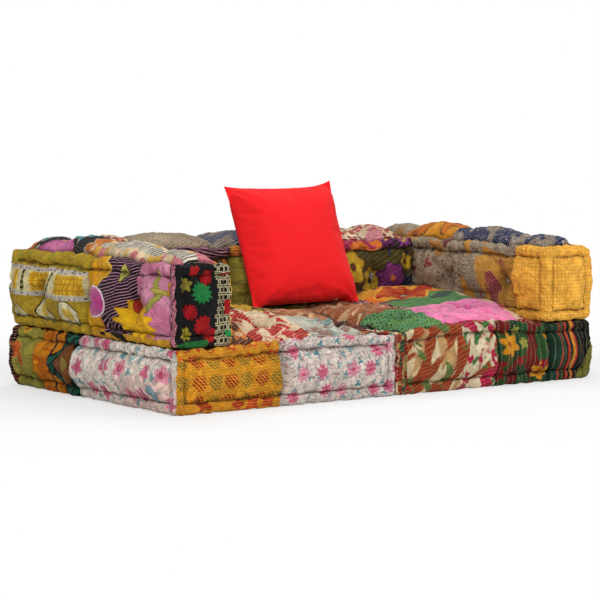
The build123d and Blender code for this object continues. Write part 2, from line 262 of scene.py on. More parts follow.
# the quilted cotton itself: threads, running-stitch furrows, crumples, fading, and shade painted into the
# crumple valleys
quilted_cotton, g = new_group("quilted cotton", {"Fade": "Float", "Roughness": "Float", "Height": "Float"},
                              place=None, furrow=0.0, fading=0.0)
u, v, _ = made("ShaderNodeSeparateXYZ", g.place)
warp = calc("SINE", u * 3900.0) * calc("SINE", v * 3900.0)
rows = calc("MULTIPLY_ADD", noise(g.place, 7.0, 2.0), 0.02, v) / g.furrow
furrow = calc("POWER", abs(calc("SINE", rows * math.pi)), 0.5)
crease = calc("MINIMUM", abs(noise(g.place, 13.0, 4.0, 0.6, 0.9) - 0.5) * 9.0, 1.0)
thread_rise, furrow_rise, pucker_rise, crease_rise = 0.05, 0.28, 0.5, 1.0
pucker = noise(g.place, 110.0, 2.0)
height = warp * thread_rise + furrow * furrow_rise + (pucker * pucker_rise + crease * crease_rise)
worn = noise(g.place, 5.0, 3.0)
fading_and_crease_shade = (worn - 0.5) * 1.2 + (noise(g.place, 320.0, 1.0) - 0.5) * 0.7
# painted shade: the colour darkens by up to a quarter where the crumples sink
fading_and_crease_shade = calc("MULTIPLY_ADD", fading_and_crease_shade, g.fading, 1.0) * calc("MULTIPLY_ADD", crease, 0.28, 0.74)
deliver(fading_and_crease_shade, calc("MULTIPLY_ADD", worn, 0.3, 0.68), height)


def coat(name, paint):
    """A new material. paint gives its colour and tone, the relief's height, strength and depth, and the
    other inputs of the surface."""
    material = bpy.data.materials.new(name)
    material.use_nodes = True
    tree = material.node_tree
    surface = tree.nodes["Principled BSDF"].inputs
    colour, tone, height, strength, depth, others = paint(tree)
    tinted = add(tree, "ShaderNodeVectorMath", colour if isinstance(colour, Field) else colour[:3],
                 operation="SCALE")
    plug_in(tinted.inputs["Scale"], tone)
    plug_in(surface["Base Color"], Field(tinted.outputs[0]))
    relief = add(tree, "ShaderNodeBump", strength, depth)
    plug_in(relief.inputs["Height"], height)
    plug_in(surface["Normal"], Field(relief.outputs[0]))
    for label, value in others.items():
        plug_in(surface[label], value)
    return material


def layer(kind, dyes, **sizes):
    """One printed layer: its dyes in the order of the block's colours, and the sizes that differ from the
    block's own."""
    return kind, dyes, sizes, ()


def panel(ground, *layers, **edges):
    """A panel of another cloth between its edges, with its own ground and layers."""
    return "panel", ground, edges, layers


kinds = ("print", "stripes", "scrolls", "blots", "specks", "stitch", "check", "flower")
prints, stripes, scrolls, blots, specks, stitches, checks, flower = [partial(layer, kind) for kind in kinds]


def printed(tree, place, cloth, layers):
    """The cloth with its layers printed one over the other."""
    for kind, dyes, sizes, inner in layers:
        below = None if kind == "panel" else cloth
        node = add(tree, "ShaderNodeGroup", below, place, node_tree=blocks[kind])
        for label, size in sizes.items():
            node.inputs[label.replace("_", " ").title()].default_value = size
        result = Field(node.outputs[0])
        if kind == "panel":
            cloth = dyed(result, cloth, printed(tree, place, dye(dyes), inner))
            continue
        colours = [socket for socket in list(node.inputs)[2:] if socket.type == "RGBA"]
        for socket, code in zip(colours, dyes.split()):
            socket.default_value = dye(code)
        cloth = result
    return cloth


def fabric(name, ground, *layers, furrow=0.011, fading=0.35, sheen=0.02, gloss=0.08):
    """Printed, stitched cotton: a ground colour and its printed layers, in the order they are printed."""
    def paint(tree):
        place = Field(tree.nodes.new("ShaderNodeUVMap").outputs[0])
        cloth = printed(tree, place, dye(ground), layers)
        fading_and_crease_shade, rough, height = made("ShaderNodeGroup", place, furrow, fading, node_tree=quilted_cotton)
        # painted shade: the seam attribute darkens the colour by up to two thirds in the roll grooves, along
        # the patch seams and round the tuft pits
        seam = Field(add(tree, "ShaderNodeAttribute", attribute_name="seam").outputs["Fac"])
        tone = fading_and_crease_shade * calc("MULTIPLY_ADD", seam, -0.66, 1.0)
        return cloth, tone, height, 0.9, 0.0045, {
            "Roughness": rough, "Sheen Weight": sheen, "Sheen Roughness": 0.5, "Specular IOR Level": gloss}

    return coat(name, paint)


def ripple(along, seed, length):
    """An uneven wave along an edge, about -1 to 1."""
    along = along / length
    return (np.sin(6.283 * along + seed) + 0.7 * np.sin(10.17 * along + 2.1 * seed)
            + 0.5 * np.sin(16.46 * along + 3.7 * seed)) / 2.2


def pleats(along, seed, pitch):
    """Narrow folds at uneven distances, 0 to 1 at the bottom of a fold."""
    along = along + 0.35 * pitch * np.sin(6.283 * along / (3.1 * pitch) + seed)
    return np.abs(np.cos(math.pi * along / pitch + seed)) ** 9


def smooth(value, start, stop):
    share = np.clip((value - start) / (stop - start), 0, 1)
    return share * share * (3 - 2 * share)


def points_of(item):
    return np.array([vertex.co for vertex in item.data.vertices])


def place_points(item, points):
    item.data.vertices.foreach_set("co", points.astype(np.float32).ravel())


def pick_out(item):
    """Makes an object the only selected one, for the tool that follows."""
    bpy.ops.object.select_all(action="DESELECT")
    item.select_set(True)
    bpy.context.view_layer.objects.active = item


def cut_across(item, axis, cuts):
    """Divides every edge that runs along an axis."""
    mesh, points = item.data, points_of(item)
    ends = np.array([edge.vertices[:] for edge in mesh.edges])
    mesh.vertices.foreach_set("select", np.zeros(len(points), bool))
    mesh.polygons.foreach_set("select", np.zeros(len(mesh.polygons), bool))
    mesh.edges.foreach_set("select", np.abs(points[ends[:, 0]] - points[ends[:, 1]])[:, axis] > 1e-6)
    bpy.context.tool_settings.mesh_select_mode = (False, True, False)
    bpy.ops.object.mode_set(mode="EDIT")
    bpy.ops.mesh.subdivide(number_cuts=cuts)
    bpy.ops.object.mode_set(mode="OBJECT")


def refine(item):
    """Divides every face in four and rounds the form."""
    pick_out(item)
    finer = item.modifiers.new("finer", "SUBSURF")
    finer.levels = finer.render_levels = 1
    bpy.ops.object.modifier_apply(modifier="finer")


def cut_block(name, low, high, cuts, roll):
    """A cube at its size and place, cut into a grid that is finest along the edges."""
    bpy.ops.object.select_all(action="DESELECT")
    centre, size = (low + high) / 2, high - low
    bpy.ops.mesh.primitive_cube_add(size=1, location=centre, scale=size)
    cushion = bpy.context.object
    cushion.name = name
    bpy.ops.object.transform_apply(location=True, rotation=True, scale=True)
    for axis in range(3):
        cut_across(cushion, axis, cuts[axis])
    points = points_of(cushion)
    for axis in range(3):
        steps = cuts[axis] + 1
        index = np.round((points[:, axis] - low[axis]) / size[axis] * steps)
        fine = 2 * roll * np.array([0, 0.17, 0.34, 0.5, 0.67, 0.83, 0.94, 1, 1.07, 1.2, 1.45])
        wide = np.linspace(fine[-1], size[axis] - fine[-1], steps - 19)
        lines = np.concatenate([fine[:-1], wide, size[axis] - fine[::-1][1:]])
        points[:, axis] = low[axis] + lines[index.astype(int)]
    place_points(cushion, points)
    cushion.data.update()
    return cushion, points


def lay_out(cushion, points):
    """UVs in metres of each face of the block; the face's number is its material for now."""
    mesh = cushion.data
    normals = np.array([face.normal for face in mesh.polygons])
    axis = np.abs(normals).argmax(1)
    number = axis * 2 + (normals[np.arange(len(axis)), axis] > 0)
    for _ in range(6):
        mesh.materials.append(None)
    mesh.polygons.foreach_set("material_index", number.astype(np.int32))
    owner = np.repeat(np.arange(len(axis)), 4)
    corner = np.zeros(len(mesh.loops), np.int32)
    mesh.loops.foreach_get("vertex_index", corner)
    others = np.array([[1, 2], [0, 2], [0, 1]])[axis[owner]]
    where = points[corner]
    layer = mesh.uv_layers[0] if mesh.uv_layers else mesh.uv_layers.new(name="UVMap")
    spread = np.stack([where[np.arange(len(corner)), others[:, k]] for k in (0, 1)], 1)
    layer.data.foreach_set("uv", spread.astype(np.float32).ravel())


def sew_rolls(points, low, high, roll, seed):
    """The block with its edges rolled: each face sinks to a stitched groove beside the roll."""
    depth = np.minimum(points - low, high - points)
    side = np.where(points - low < high - points, -1, 1)
    flat = depth < 1e-6
    band, groove, thread = 2 * roll, 0.009, 0.0045
    start, wrap = 45, 78
    deep = roll * (1 - math.cos(math.radians(wrap)))
    angle = np.radians(start - (start + wrap) * np.clip(depth / band, 0, 1))
    edge = np.where(angle > 0, roll * (1 - np.cos(angle)), 0)
    sunk = np.where(angle < 0, roll * (1 - np.cos(angle)), 0)
    sunk = np.where(depth > band, deep * np.exp((band - depth) / groove), sunk)
    beside = np.exp(-((depth - band) / groove) ** 2)
    reach = roll * (1 + math.sin(math.radians(wrap)))
    half = (high - low) / 2
    beyond = reach + (depth - band) * (half - reach) / (half - band)
    tuck = np.where(depth < band, roll * (1 - np.sin(angle)), beyond)
    shaped, line = points.copy(), np.zeros(len(points))
    for a in range(3):
        b, c = [k for k in range(3) if k != a]
        in_b, in_c = depth[:, b] < band, depth[:, c] < band
        dip_b, dip_c = [sunk[:, k] * (0.55 if a < 2 and k < 2 else 1.0) for k in (b, c)]
        least, most = np.minimum(dip_b, dip_c), np.maximum(dip_b, dip_c)
        dip = np.where(in_b & in_c, least, np.where(in_b, dip_b, np.where(in_c, dip_c, most)))
        away = edge[:, b] + edge[:, c] + dip
        for near, far in ((b, c), (c, b)):
            inside = smooth(depth[:, far], band * 0.8, band)
            pull = np.cos(points[:, far] * 6.283 / 0.047 + seed + near)
            pull = pull + ripple(points[:, far], seed + near, 0.11)
            away = away + 0.002 * beside[:, near] * pull * inside
            # painted shade: the groove beside each roll is marked for darkening the colour, less on the
            # upright corners
            stitched = np.exp(-((depth[:, near] - band) / thread) ** 2) * inside * flat[:, a]
            firm = ((a != 2) | (side[:, 2] > 0)) * (0.6 if a < 2 and near < 2 else 1.0)
            line = np.maximum(line, stitched * firm)
            plump = smooth(band - depth[:, near], 0, roll) * (depth[:, near] < band)
            away = away - 0.0045 * plump * ripple(points[:, far], seed + 1.3 * near + side[:, near], 0.13)
            away = away + 0.005 * plump * inside * pleats(points[:, far], seed + near, 0.06)
        if a == 2:
            away = np.where(side[:, 2] < 0, edge[:, 0] + edge[:, 1], away)
        others = points.sum(1) - points[:, a]
        wander = 0.0035 * ripple(others, seed + a, 0.14) * np.exp(-((depth[:, a] - band) / 0.02) ** 2)
        away = np.where(flat[:, a], away, tuck[:, a] + wander)
        shaped[:, a] = np.where(side[:, a] < 0, low[a] + away, high[a] - away)
    return shaped, depth, side, flat, line


def swell_sides(shaped, points, depth, sides, flat, low, high, amounts, outer, seed, free=1.0):
    """Bulges the side faces between their rolls, with folds running in from the stitching, and bows the
    upright corners of the outer faces: (axis, way, how far)."""
    rise = np.clip((shaped[:, 2] - low[2] - 2 * roll) / (high[2] - low[2] - 4 * roll), 0, 1)
    belly = np.sin(math.pi * rise) ** 0.65
    near = np.exp(-np.minimum(rise, 1 - rise) * (high[2] - low[2]) / 0.05)
    upper = smooth(rise, 0.3, 0.7)
    for axis in (0, 1):
        along = points[:, 1 - axis]
        open_face = flat[:, axis] * smooth(depth[:, 1 - axis], 1.8 * roll, 4.5 * roll)
        fold = pleats(along, seed + axis, 0.093) * (1 - upper)
        fold += pleats(along, seed + axis + 0.9, 0.101) * upper
        out = amounts[axis] * (1 + 0.3 * ripple(along, seed + axis, 0.3)) - 0.022 * fold * near
        shaped[:, axis] += sides[:, axis] * open_face * belly * out * free
    bow = np.sin(math.pi * np.clip((points[:, 2] - low[2]) / (high[2] - low[2]), 0, 1))
    bow *= smooth(points[:, 0] + points[:, 1], -1.6, -1.0)
    for axis, way, far in outer:
        end = high[axis] if way > 0 else -low[axis]
        shaped[:, axis] += way * far * bow * smooth(way * points[:, axis], end - 0.12, end)


def join_panels(shaped, points, depth, sides, flat, line, roll, patches):
    """Pinches the side faces where two patches are sewn together, and rounds the cloth beside the seam."""
    for panel in range(4):
        axis, way = panel // 2, 1 if panel % 2 else -1
        along = points[:, 1 - axis]
        there = flat[:, axis] & (sides[:, axis] == way)
        for _, left, right, *_ in patches[panel]:
            for place in (left, right):
                if abs(place) > 5:
                    continue
                gap = np.abs(along - place)
                dent = 0.017 * np.exp(-(gap / 0.013) ** 2) - 0.006 * np.exp(-((gap - 0.034) / 0.018) ** 2)
                dent *= 0.35 + 0.65 * smooth(depth[:, 2], 1.6 * roll, 2.2 * roll)
                shaped[:, axis] -= way * there * dent
                # painted shade: the seam between two patches is marked for darkening the colour
                line[:] = np.maximum(line, 0.7 * there * np.exp(-(gap / 0.006) ** 2))


def find_washers(node, centre):
    """Middle, outward direction of every washer of a cushion, read from the frame."""
    left = points_of(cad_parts[node])
    found = []
    while len(left):
        near = np.linalg.norm(left - left[0], axis=1) < 0.05
        disc, left = left[near], left[~near]
        middle = (disc.min(0) + disc.max(0)) / 2
        out = np.linalg.svd(np.unique(disc.round(5), axis=0) - middle, full_matrices=False)[2][2]
        found.append((middle, out if out @ (middle - centre) > 0 else -out))
    return found


def pull_tufts(shaped, faces, washers, line, hole, reach, seed):
    """Draws the cloth down under each washer, with folds running out from it."""
    held = np.zeros(len(shaped))
    for count, (middle, out) in enumerate(washers):
        seat = middle - out * 0.0022
        arm = shaped - seat
        lift = arm @ out
        spread = arm - lift[:, None] * out
        distance = np.linalg.norm(spread, axis=1)
        axis = int(np.abs(out).argmax())
        same = faces[axis] == (1 if out[axis] > 0 else -1)
        close, wide = 1 - smooth(distance, hole, hole + 0.03), 1 - smooth(distance, hole, reach)
        weight = (0.68 * close + 0.32 * wide) * same
        side = np.cross(out, [0.3, 0.5, 0.8])
        side /= np.linalg.norm(side)
        turn = np.arctan2(spread @ np.cross(out, side), spread @ side)
        fold = np.cos(turn * (7 + count % 3) + seed + count) * smooth(distance, hole, 0.05)
        fold *= (1 - smooth(distance, 0.06, 0.17)) * same
        # painted shade: the pit round each washer is marked for darkening the colour
        line[:] = np.maximum(line, 0.85 * (1 - smooth(distance, hole, 0.65 * reach)) * same)
        shaped -= out * (weight * lift)[:, None]
        shaped += out * (fold * 0.006)[:, None]
        held = np.maximum(held, (distance < hole + 0.009) * same)
    return held


def stuff(cushion, held, pressure, slack, cap):
    """Blows the casing up like packed wadding, with the stitched places held."""
    group = cushion.vertex_groups.new(name="stitched")
    for weight in np.unique(held.round(2)):
        group.add([int(i) for i in np.where(held.round(2) == weight)[0]], float(weight), "REPLACE")
    before = points_of(cushion)
    pick_out(cushion)
    bpy.ops.object.modifier_add(type="CLOTH")
    cloth = cushion.modifiers["Cloth"]
    for setting, value in (("quality", 4), ("mass", 0.4), ("tension_stiffness", 18),
                           ("compression_stiffness", 18), ("shear_stiffness", 6), ("bending_stiffness", 1.2),
                           ("use_pressure", True), ("uniform_pressure_force", pressure),
                           ("shrink_min", -slack), ("vertex_group_mass", "stitched")):
        setattr(cloth.settings, setting, value)
    cloth.settings.effector_weights.gravity = 0
    for moment in range(1, 21):
        bpy.context.scene.frame_set(moment)
    bpy.ops.object.modifier_apply(modifier="Cloth")
    bpy.context.scene.frame_set(1)
    move = points_of(cushion) - before
    length = np.linalg.norm(move, axis=1)
    move *= np.where(length > cap, cap / np.maximum(length, 1e-9), 1)[:, None]
    place_points(cushion, before + move)
    cushion.vertex_groups.clear()


def hold(cushion, walls):
    """Keeps the cloth off its neighbours: each wall is an axis, a side and a place, and who it holds."""
    points = points_of(cushion)
    for axis, side, place, who in walls:
        over = (points[:, axis] - place) * side > 0
        if who is not None:
            over &= who(points)
        points[over, axis] = place
    place_points(cushion, points)
    cushion.data.update()


def piece_together(cushion, low, high, patches):
    """Lays the patches on the faces: (fabric, left, right, low, high) in metres for each side of the block.
    The cloth of a side goes round the rolls above and below it."""
    mesh = cushion.data
    refine(cushion)
    for grain, strength in ((0.07, 0.011), (0.026, 0.0046)):
        crumple = bpy.data.textures.new("crumple", "CLOUDS")
        crumple.noise_scale = grain
        crumple.noise_type = "HARD_NOISE"
        crumple.noise_depth = 1
        wrinkle = cushion.modifiers.new("wrinkle", "DISPLACE")
        wrinkle.texture = crumple
        wrinkle.texture_coords = "LOCAL"
        wrinkle.strength = -strength
        wrinkle.mid_level = 0.25
        bpy.ops.object.modifier_apply(modifier="wrinkle")
    count = len(mesh.polygons)
    number = np.zeros(count, np.int32)
    mesh.polygons.foreach_get("material_index", number)
    spread = np.zeros(len(mesh.loops) * 2, np.float32)
    mesh.uv_layers[0].data.foreach_get("uv", spread)
    spread = spread.reshape(count, 4, 2)
    middle = spread.mean(1)
    gaps = np.stack([way * (end[axis] - middle[:, axis]) for axis in (0, 1)
                     for way, end in ((-1, low), (1, high))])
    for face, start, way in ((4, low[2], -1), (5, high[2], 1)):
        near = gaps.argmin(0)
        over = (number == face) & (gaps.min(0) < 1.95 * roll)
        for panel in range(4):
            turned_over = over & (near == panel)
            edge = (low[0], high[0], low[1], high[1])[panel]
            corners = spread[turned_over]
            beyond = np.abs(corners[:, :, panel // 2] - edge)
            spread[turned_over] = np.stack([corners[:, :, 1 - panel // 2], start + way * beyond], 2)
            number[turned_over] = panel
    mesh.uv_layers[0].data.foreach_set("uv", spread.ravel())
    middle = spread.mean(1)
    used, index = [], np.zeros(count, np.int32)
    for panel in range(6):
        for cloth, left, right, bottom, top in patches[panel]:
            if cloth not in used:
                used.append(cloth)
            there = (number == panel) & (middle[:, 0] >= left) & (middle[:, 0] <= right)
            there &= (middle[:, 1] >= bottom) & (middle[:, 1] <= top)
            index[there] = used.index(cloth)
    mesh.materials.clear()
    for cloth in used:
        mesh.materials.append(cloth)
    mesh.polygons.foreach_set("material_index", index)
    corner = np.zeros(len(mesh.loops), np.int32)
    mesh.loops.foreach_get("vertex_index", corner)
    face = np.repeat(index, 4)
    least, most = np.full(len(mesh.vertices), 99), np.full(len(mesh.vertices), -1)
    np.minimum.at(least, corner, face)
    np.maximum.at(most, corner, face)
    seam = least != most
    normals = np.array([vertex.normal for vertex in mesh.vertices])
    points = points_of(cushion)
    points[seam] -= 0.003 * normals[seam]
    place_points(cushion, points)
    mesh.update()
    bpy.ops.object.shade_smooth()


def make_up(cushion, shaped, held, sewn, low, high, patches, walls):
    """Gives the cushion its form, notes how near a point is to a seam, a roll groove or a tuft pit, for the
    shade painted into the colour there, and stuffs and pieces the casing. The underside, the seams and the
    held points stay where they are."""
    depth, sides, flat, line = sewn
    seam = cushion.data.attributes.new("seam", "FLOAT", "POINT")
    seam.data.foreach_set("value", line.astype(np.float32))
    place_points(cushion, shaped)
    bottom = flat[:, 2] & (sides[:, 2] < 0)
    held = np.maximum(held, np.maximum(bottom, line > 0.55))
    stuff(cushion, np.maximum(held, 0.3 * (depth[:, 2] < roll)), pressure=4.0, slack=0.035, cap=0.014)
    piece_together(cushion, low, high, patches)
    hold(cushion, walls)


olive_ovals = fabric(
    "olive with ringed ovals", "a3953c",
    blots("948c3a", scale=9.0, level=0.53, turn=0.4, stretch=1.5),
    flower("c9541c a8381a e0a52c", x=0.462, y=0.115, radius=0.021, tall=1.5, petals=2.0, depth=0.05,
           heart=0.4, ragged=0.05),
    flower("c9541c a8381a a08a3a", x=0.52, y=0.15, radius=0.028, tall=1.3, petals=2.0, depth=0.1,
           ragged=0.2),
    prints("c9561f b8431f 9c3418 d9a52c", cell=0.125, tall=1.25, petals=2.0, depth=0.1, size=0.17,
           heart=0.08, show=0.4, rim=0.06),
    stitches("b5b068", row=0.017, stitch=0.009, turn=0.05, thick=0.05),
    panel("a8702c", specks("8f2a1c", scale=70.0, size=0.22), left=0.545, waver=0.02), fading=0.5)
zigzag_diamonds = fabric(
    "orange with zigzag diamonds", "cf8218",
    blots("b86014", scale=22.0, level=0.5, turn=0.3, stretch=1.6),
    panel("1f5a48", stripes("141a14", turn=0.95, pitch=0.022, share=0.4, wave=0.05, wave_scale=22.0),
          flower("7a4a26 8f7a3a 16140f", x=0.13, y=0.125, radius=0.062, tall=1.2, petals=4.0, depth=0.14,
                 heart=0.4, ragged=0.3),
          *[flower("cf7c18 cf7c18 1a1511", x=0.262, y=y, radius=0.085, petals=4.0, depth=0.1, turn=0.785,
                   heart=0.0, ragged=0.3) for y in (0.235, 0.0)], right=0.25, waver=0.03),
    # painted shade: this thin dark strip at the edge of the green panel stands for the shadow beside the
    # orange piece's bulge
    panel("1a1511", left=0.236, right=0.252, waver=0.05),
    panel("1a1511", left=0.348, right=0.362, waver=0.03), panel("cf8a20", left=0.362), fading=0.4)
scroll_floral = fabric(
    "white with scrolling flowers", "f0e2d2",
    panel("ecccbc", right=-0.23, high=0.14, waver=0.03),
    scrolls("7fa9a8", scale=21.0, width=0.012, curl=1.6),
    scrolls("cc7f90", scale=27.0, width=0.012, curl=1.9),
    prints("6f9ea3 88b0b2", cell=0.052, petals=3.0, depth=0.4, size=0.24, heart=0.0, show=0.35),
    prints("cf6485 d98a9c b8486a b0506e", cell=0.088, tall=1.05, petals=5.0, depth=0.2, size=0.32,
           heart=0.14, show=0.5), stripes("6f9e9c", pitch=0.105, share=0.05, wave=0.22, wave_scale=3.0),
    stripes("e9d6c9", pitch=0.105, share=0.018, wave=0.22, wave_scale=3.0),
    flower("6f9ca4 5c8890 c98a96", x=-0.47, y=0.075, radius=0.03, tall=1.1, petals=6.0, depth=0.1,
           heart=0.2, ragged=0.3), stitches("f5ece0", row=0.015, turn=1.5, thick=0.05), fading=0.3)
daisy_floral = fabric(
    "white with pink flowers", "decfc2",
    scrolls("8fa3a0", scale=25.0, curl=1.2), scrolls("b07680", scale=19.0, width=0.018, curl=2.2),
    prints("4a888e 7fa09e", cell=0.04, petals=3.0, depth=0.45, size=0.24, heart=0.0, show=0.35),
    prints("cf6080 d6879a b84862 f0e6e2", cell=0.075, petals=9.0, depth=0.22, size=0.34, show=0.5),
    stitches("efe9e4", row=0.016, turn=0.1, thick=0.05), fading=0.28)
marigold_discs = fabric(
    "marigold with hatched discs", "d08a1c",
    specks("e0b040", scale=75.0, size=0.2), specks("a8802a", scale=95.0, size=0.16),
    prints("a02c14 7f6a26 000000 d9a73a", cell=0.067, tall=1.15, stagger=0.0, size=0.43, heart=0.0,
           hatch=26.0, columns=1.0),
    panel("cf8a22",
          prints("b8431f c9531f e2b84e", cell=0.05, tall=0.9, petals=4.0, depth=0.3, size=0.36, heart=0.12,
                 show=0.6), low=0.192, high=0.3, waver=0.01),
    panel("cf8a22",
          prints("a83418 b8431f e2b84e", tall=0.7, petals=4.0, depth=0.3, size=0.36, heart=0.0, show=0.6),
          high=0.045, waver=0.02), stitches("e6bf5a", row=0.0105, stitch=0.007, turn=0.04, thick=0.07),
    fading=0.4)
rust_blotches = fabric(
    "cream with rust streaks", "d6c199",
    blots("b8905c", scale=15.0, level=0.52, turn=1.15, stretch=2.6, shift=3.0),
    blots("963c16", scale=13.0, level=0.45, turn=0.95, stretch=3.0),
    blots("5e7036", scale=20.0, level=0.6, turn=2.3, stretch=2.2, shift=5.0),
    panel("d9c8a6", blots("9a421c", scale=19.0, level=0.58, turn=1.0, stretch=2.2),
          blots("b01c44", scale=15.0, level=0.5, turn=2.2, stretch=1.7, shift=9.0),
          blots("3f7038", scale=21.0, level=0.58, turn=0.5, stretch=1.6, shift=5.0), left=0.32, waver=0.1),
    panel("b89a5a", blots("8f2a1c", scale=30.0, level=0.5, turn=1.57, stretch=2.0, shift=2.0),
          blots("2f4a2c", scale=34.0, level=0.56, turn=1.57, stretch=2.0, shift=4.0), right=0.05,
          waver=0.03), stitches("e9dfc6", row=0.014, turn=0.3, thick=0.02), fading=0.3)
green_garden = fabric(
    "green with marigolds", "2b4a24",
    stripes("163a22", pitch=0.09, share=0.4, wave=0.03, wave_scale=5.0),
    blots("6a1a14", scale=14.0, level=0.53, turn=1.3, stretch=2.0),
    prints("d08a1c 8a1a20 a8521c 3a1512", cell=0.11, tall=1.05, petals=6.0, depth=0.24, size=0.33,
           show=0.45),
    prints("8a1a20 8f8a35", cell=0.06, petals=5.0, depth=0.3, size=0.3, heart=0.0, show=0.3),
    stitches("a3b598", row=0.024, stitch=0.009, turn=1.57, thick=0.03), fading=0.35)
ribbon_stripes = fabric(
    "ribbon stripes", "1f3a2c",
    stripes("a52a1c", pitch=0.061, share=0.2, wave=0.02, wave_scale=6.0),
    panel("1c1a16", stripes("b3341d", pitch=0.034, share=0.34, wave=0.02, wave_scale=6.0),
          stripes("cf8a2c", pitch=0.051, share=0.22, wave=0.02, wave_scale=6.0),
          panel("6d6a2a", blots("16140f", level=0.52, turn=1.0, stretch=2.0), left=0.93, waver=0.03),
          left=0.845, waver=0.02), stitches("9aa886", row=0.026, stitch=0.009, turn=1.57, thick=0.03),
    fading=0.35)
brown_flowers = fabric(
    "brown with orange flowers", "5a2d1c",
    prints("c9703a 1c1512 d9b98a 1a120e", cell=0.11, petals=6.0, depth=0.3, size=0.34, heart=0.14,
           show=0.8, rim=0.04), stitches("d6b58c", turn=0.4, thick=0.1))
red_leaves = fabric(
    "cream with red leaves", "dcc29c",
    blots("b8302a", scale=15.0, level=0.5, turn=2.1, stretch=2.6),
    scrolls("e2cfae", scale=17.0, width=0.03, curl=1.2),
    blots("a8281f", scale=17.0, level=0.6, turn=0.6, stretch=2.4, shift=4.0),
    stitches("efe0c8", row=0.013, stitch=0.009, turn=0.4, thick=0.05))
yellow_strokes = fabric(
    "yellow with black strokes", "cfa23a",
    scrolls("1f1a12", scale=16.0, width=0.022, curl=0.6),
    prints("8f8a4a c9783a 5a2a1a 1f1a12", cell=0.14, petals=5.0, depth=0.3, size=0.3, show=0.5, rim=0.04))
tan_patch = fabric(
    "tan with brown blots", "b5744a",
    blots("9a5330", scale=13.0, level=0.5, turn=0.3, stretch=1.8),
    scrolls("2a1a14", scale=9.0, width=0.008, curl=0.8),
    blots("d2ab84", scale=20.0, level=0.58, turn=0.8, stretch=2.0, shift=4.0),
    stitches("dfc3a0", row=0.011, thick=0.1))
pale_stitched = fabric(
    "pale grey stitched", "b9b7a6",
    blots("6f938c", scale=10.0, level=0.54, turn=0.3, stretch=2.2),
    blots("8a5f52", scale=16.0, level=0.6, turn=0.3, stretch=2.2, shift=7.0),
    stitches("efe9dc", stitch=0.009, thick=0.14))
maroon_patch = fabric(
    "maroon with black", "5f231a",
    blots("2a1612", scale=14.0, level=0.5, turn=0.2, stretch=2.5),
    blots("b3663a", scale=17.0, level=0.6, turn=0.2, stretch=2.5, shift=3.0), stitches("c9a080", thick=0.1))
bright_green = fabric(
    "bright green dotted", "66945e",
    blots("6a8f4c", level=0.56, turn=0.5, stretch=2.5),
    prints("23502f 2f6a4c", cell=0.016, size=0.28, heart=0.0),
    panel("22201a", stitches("9fae94", thick=0.16), right=0.05, waver=0.05))
orange_band = fabric(
    "orange and red bands", "d4631c",
    stripes("a82a16", turn=1.2, pitch=0.17, share=0.42, wave=0.12, wave_scale=4.0),
    blots("e08a25", level=0.56, turn=0.4, stretch=2.0),
    blots("1d2f3a", scale=9.0, level=0.6, turn=0.4, stretch=2.4, shift=5.0),
    stitches("f0b070", row=0.013, stitch=0.009, thick=0.06))
red_diamond = fabric(
    "orange with a red diamond", "d9701a",
    blots("e09a2c", scale=8.0, turn=0.3, stretch=2.0),
    panel("4a8a55", blots("1f4a4a", turn=0.3, stretch=2.5), specks("1d4a2a", scale=100.0, size=0.3),
          high=-0.1, waver=0.05),
    flower("ad1c16 ad1c16 d9a03a", x=0.5, y=-0.01, radius=0.125, tall=0.8, petals=4.0, depth=0.18,
           heart=0.0, ragged=0.05),
    panel("1b1412", prints("1b1412 1b1412 b3344a d98c9a", cell=0.03, size=0.3, heart=0.14, rim=0.07),
          specks("e9dfd2", scale=70.0, size=0.2), right=0.315, waver=0.06),
    stitches("f0b070", row=0.013, stitch=0.009, thick=0.06))
satin_pink = fabric(
    "satin pink", "f466a2",
    blots("dc5698", scale=7.0, level=0.5, turn=0.6, stretch=2.5), sheen=0.4, fading=0.2, gloss=0.6)
red_zigzag = fabric(
    "cream with red zigzag", "d8b98f",
    prints("a8262a 8f1d22 d8a070", cell=0.16, petals=9.0, depth=0.16, size=0.42, heart=0.12, diamond=0.6),
    stitches("efe0c4", turn=0.4, thick=0.08))
underside = fabric(
    "calico lining", "cfc4ab",
    specks("a8997c", scale=90.0, size=0.08), fading=0.2)


def patch(cloth, left=-9.0, right=9.0, low=-9.0, high=9.0):
    """A patch of a cushion's side and its ends in metres; an end that isn't given lies past the edge."""
    return cloth, left, right, low, high


def corners_of(side, inner, low, high):
    """The corners of a block at the left or right of the group, from its inner face to the group's end."""
    near, far = sorted((side * inner, side * half_long))
    return Vector((near, -half_deep, low)), Vector((far, half_deep, high))


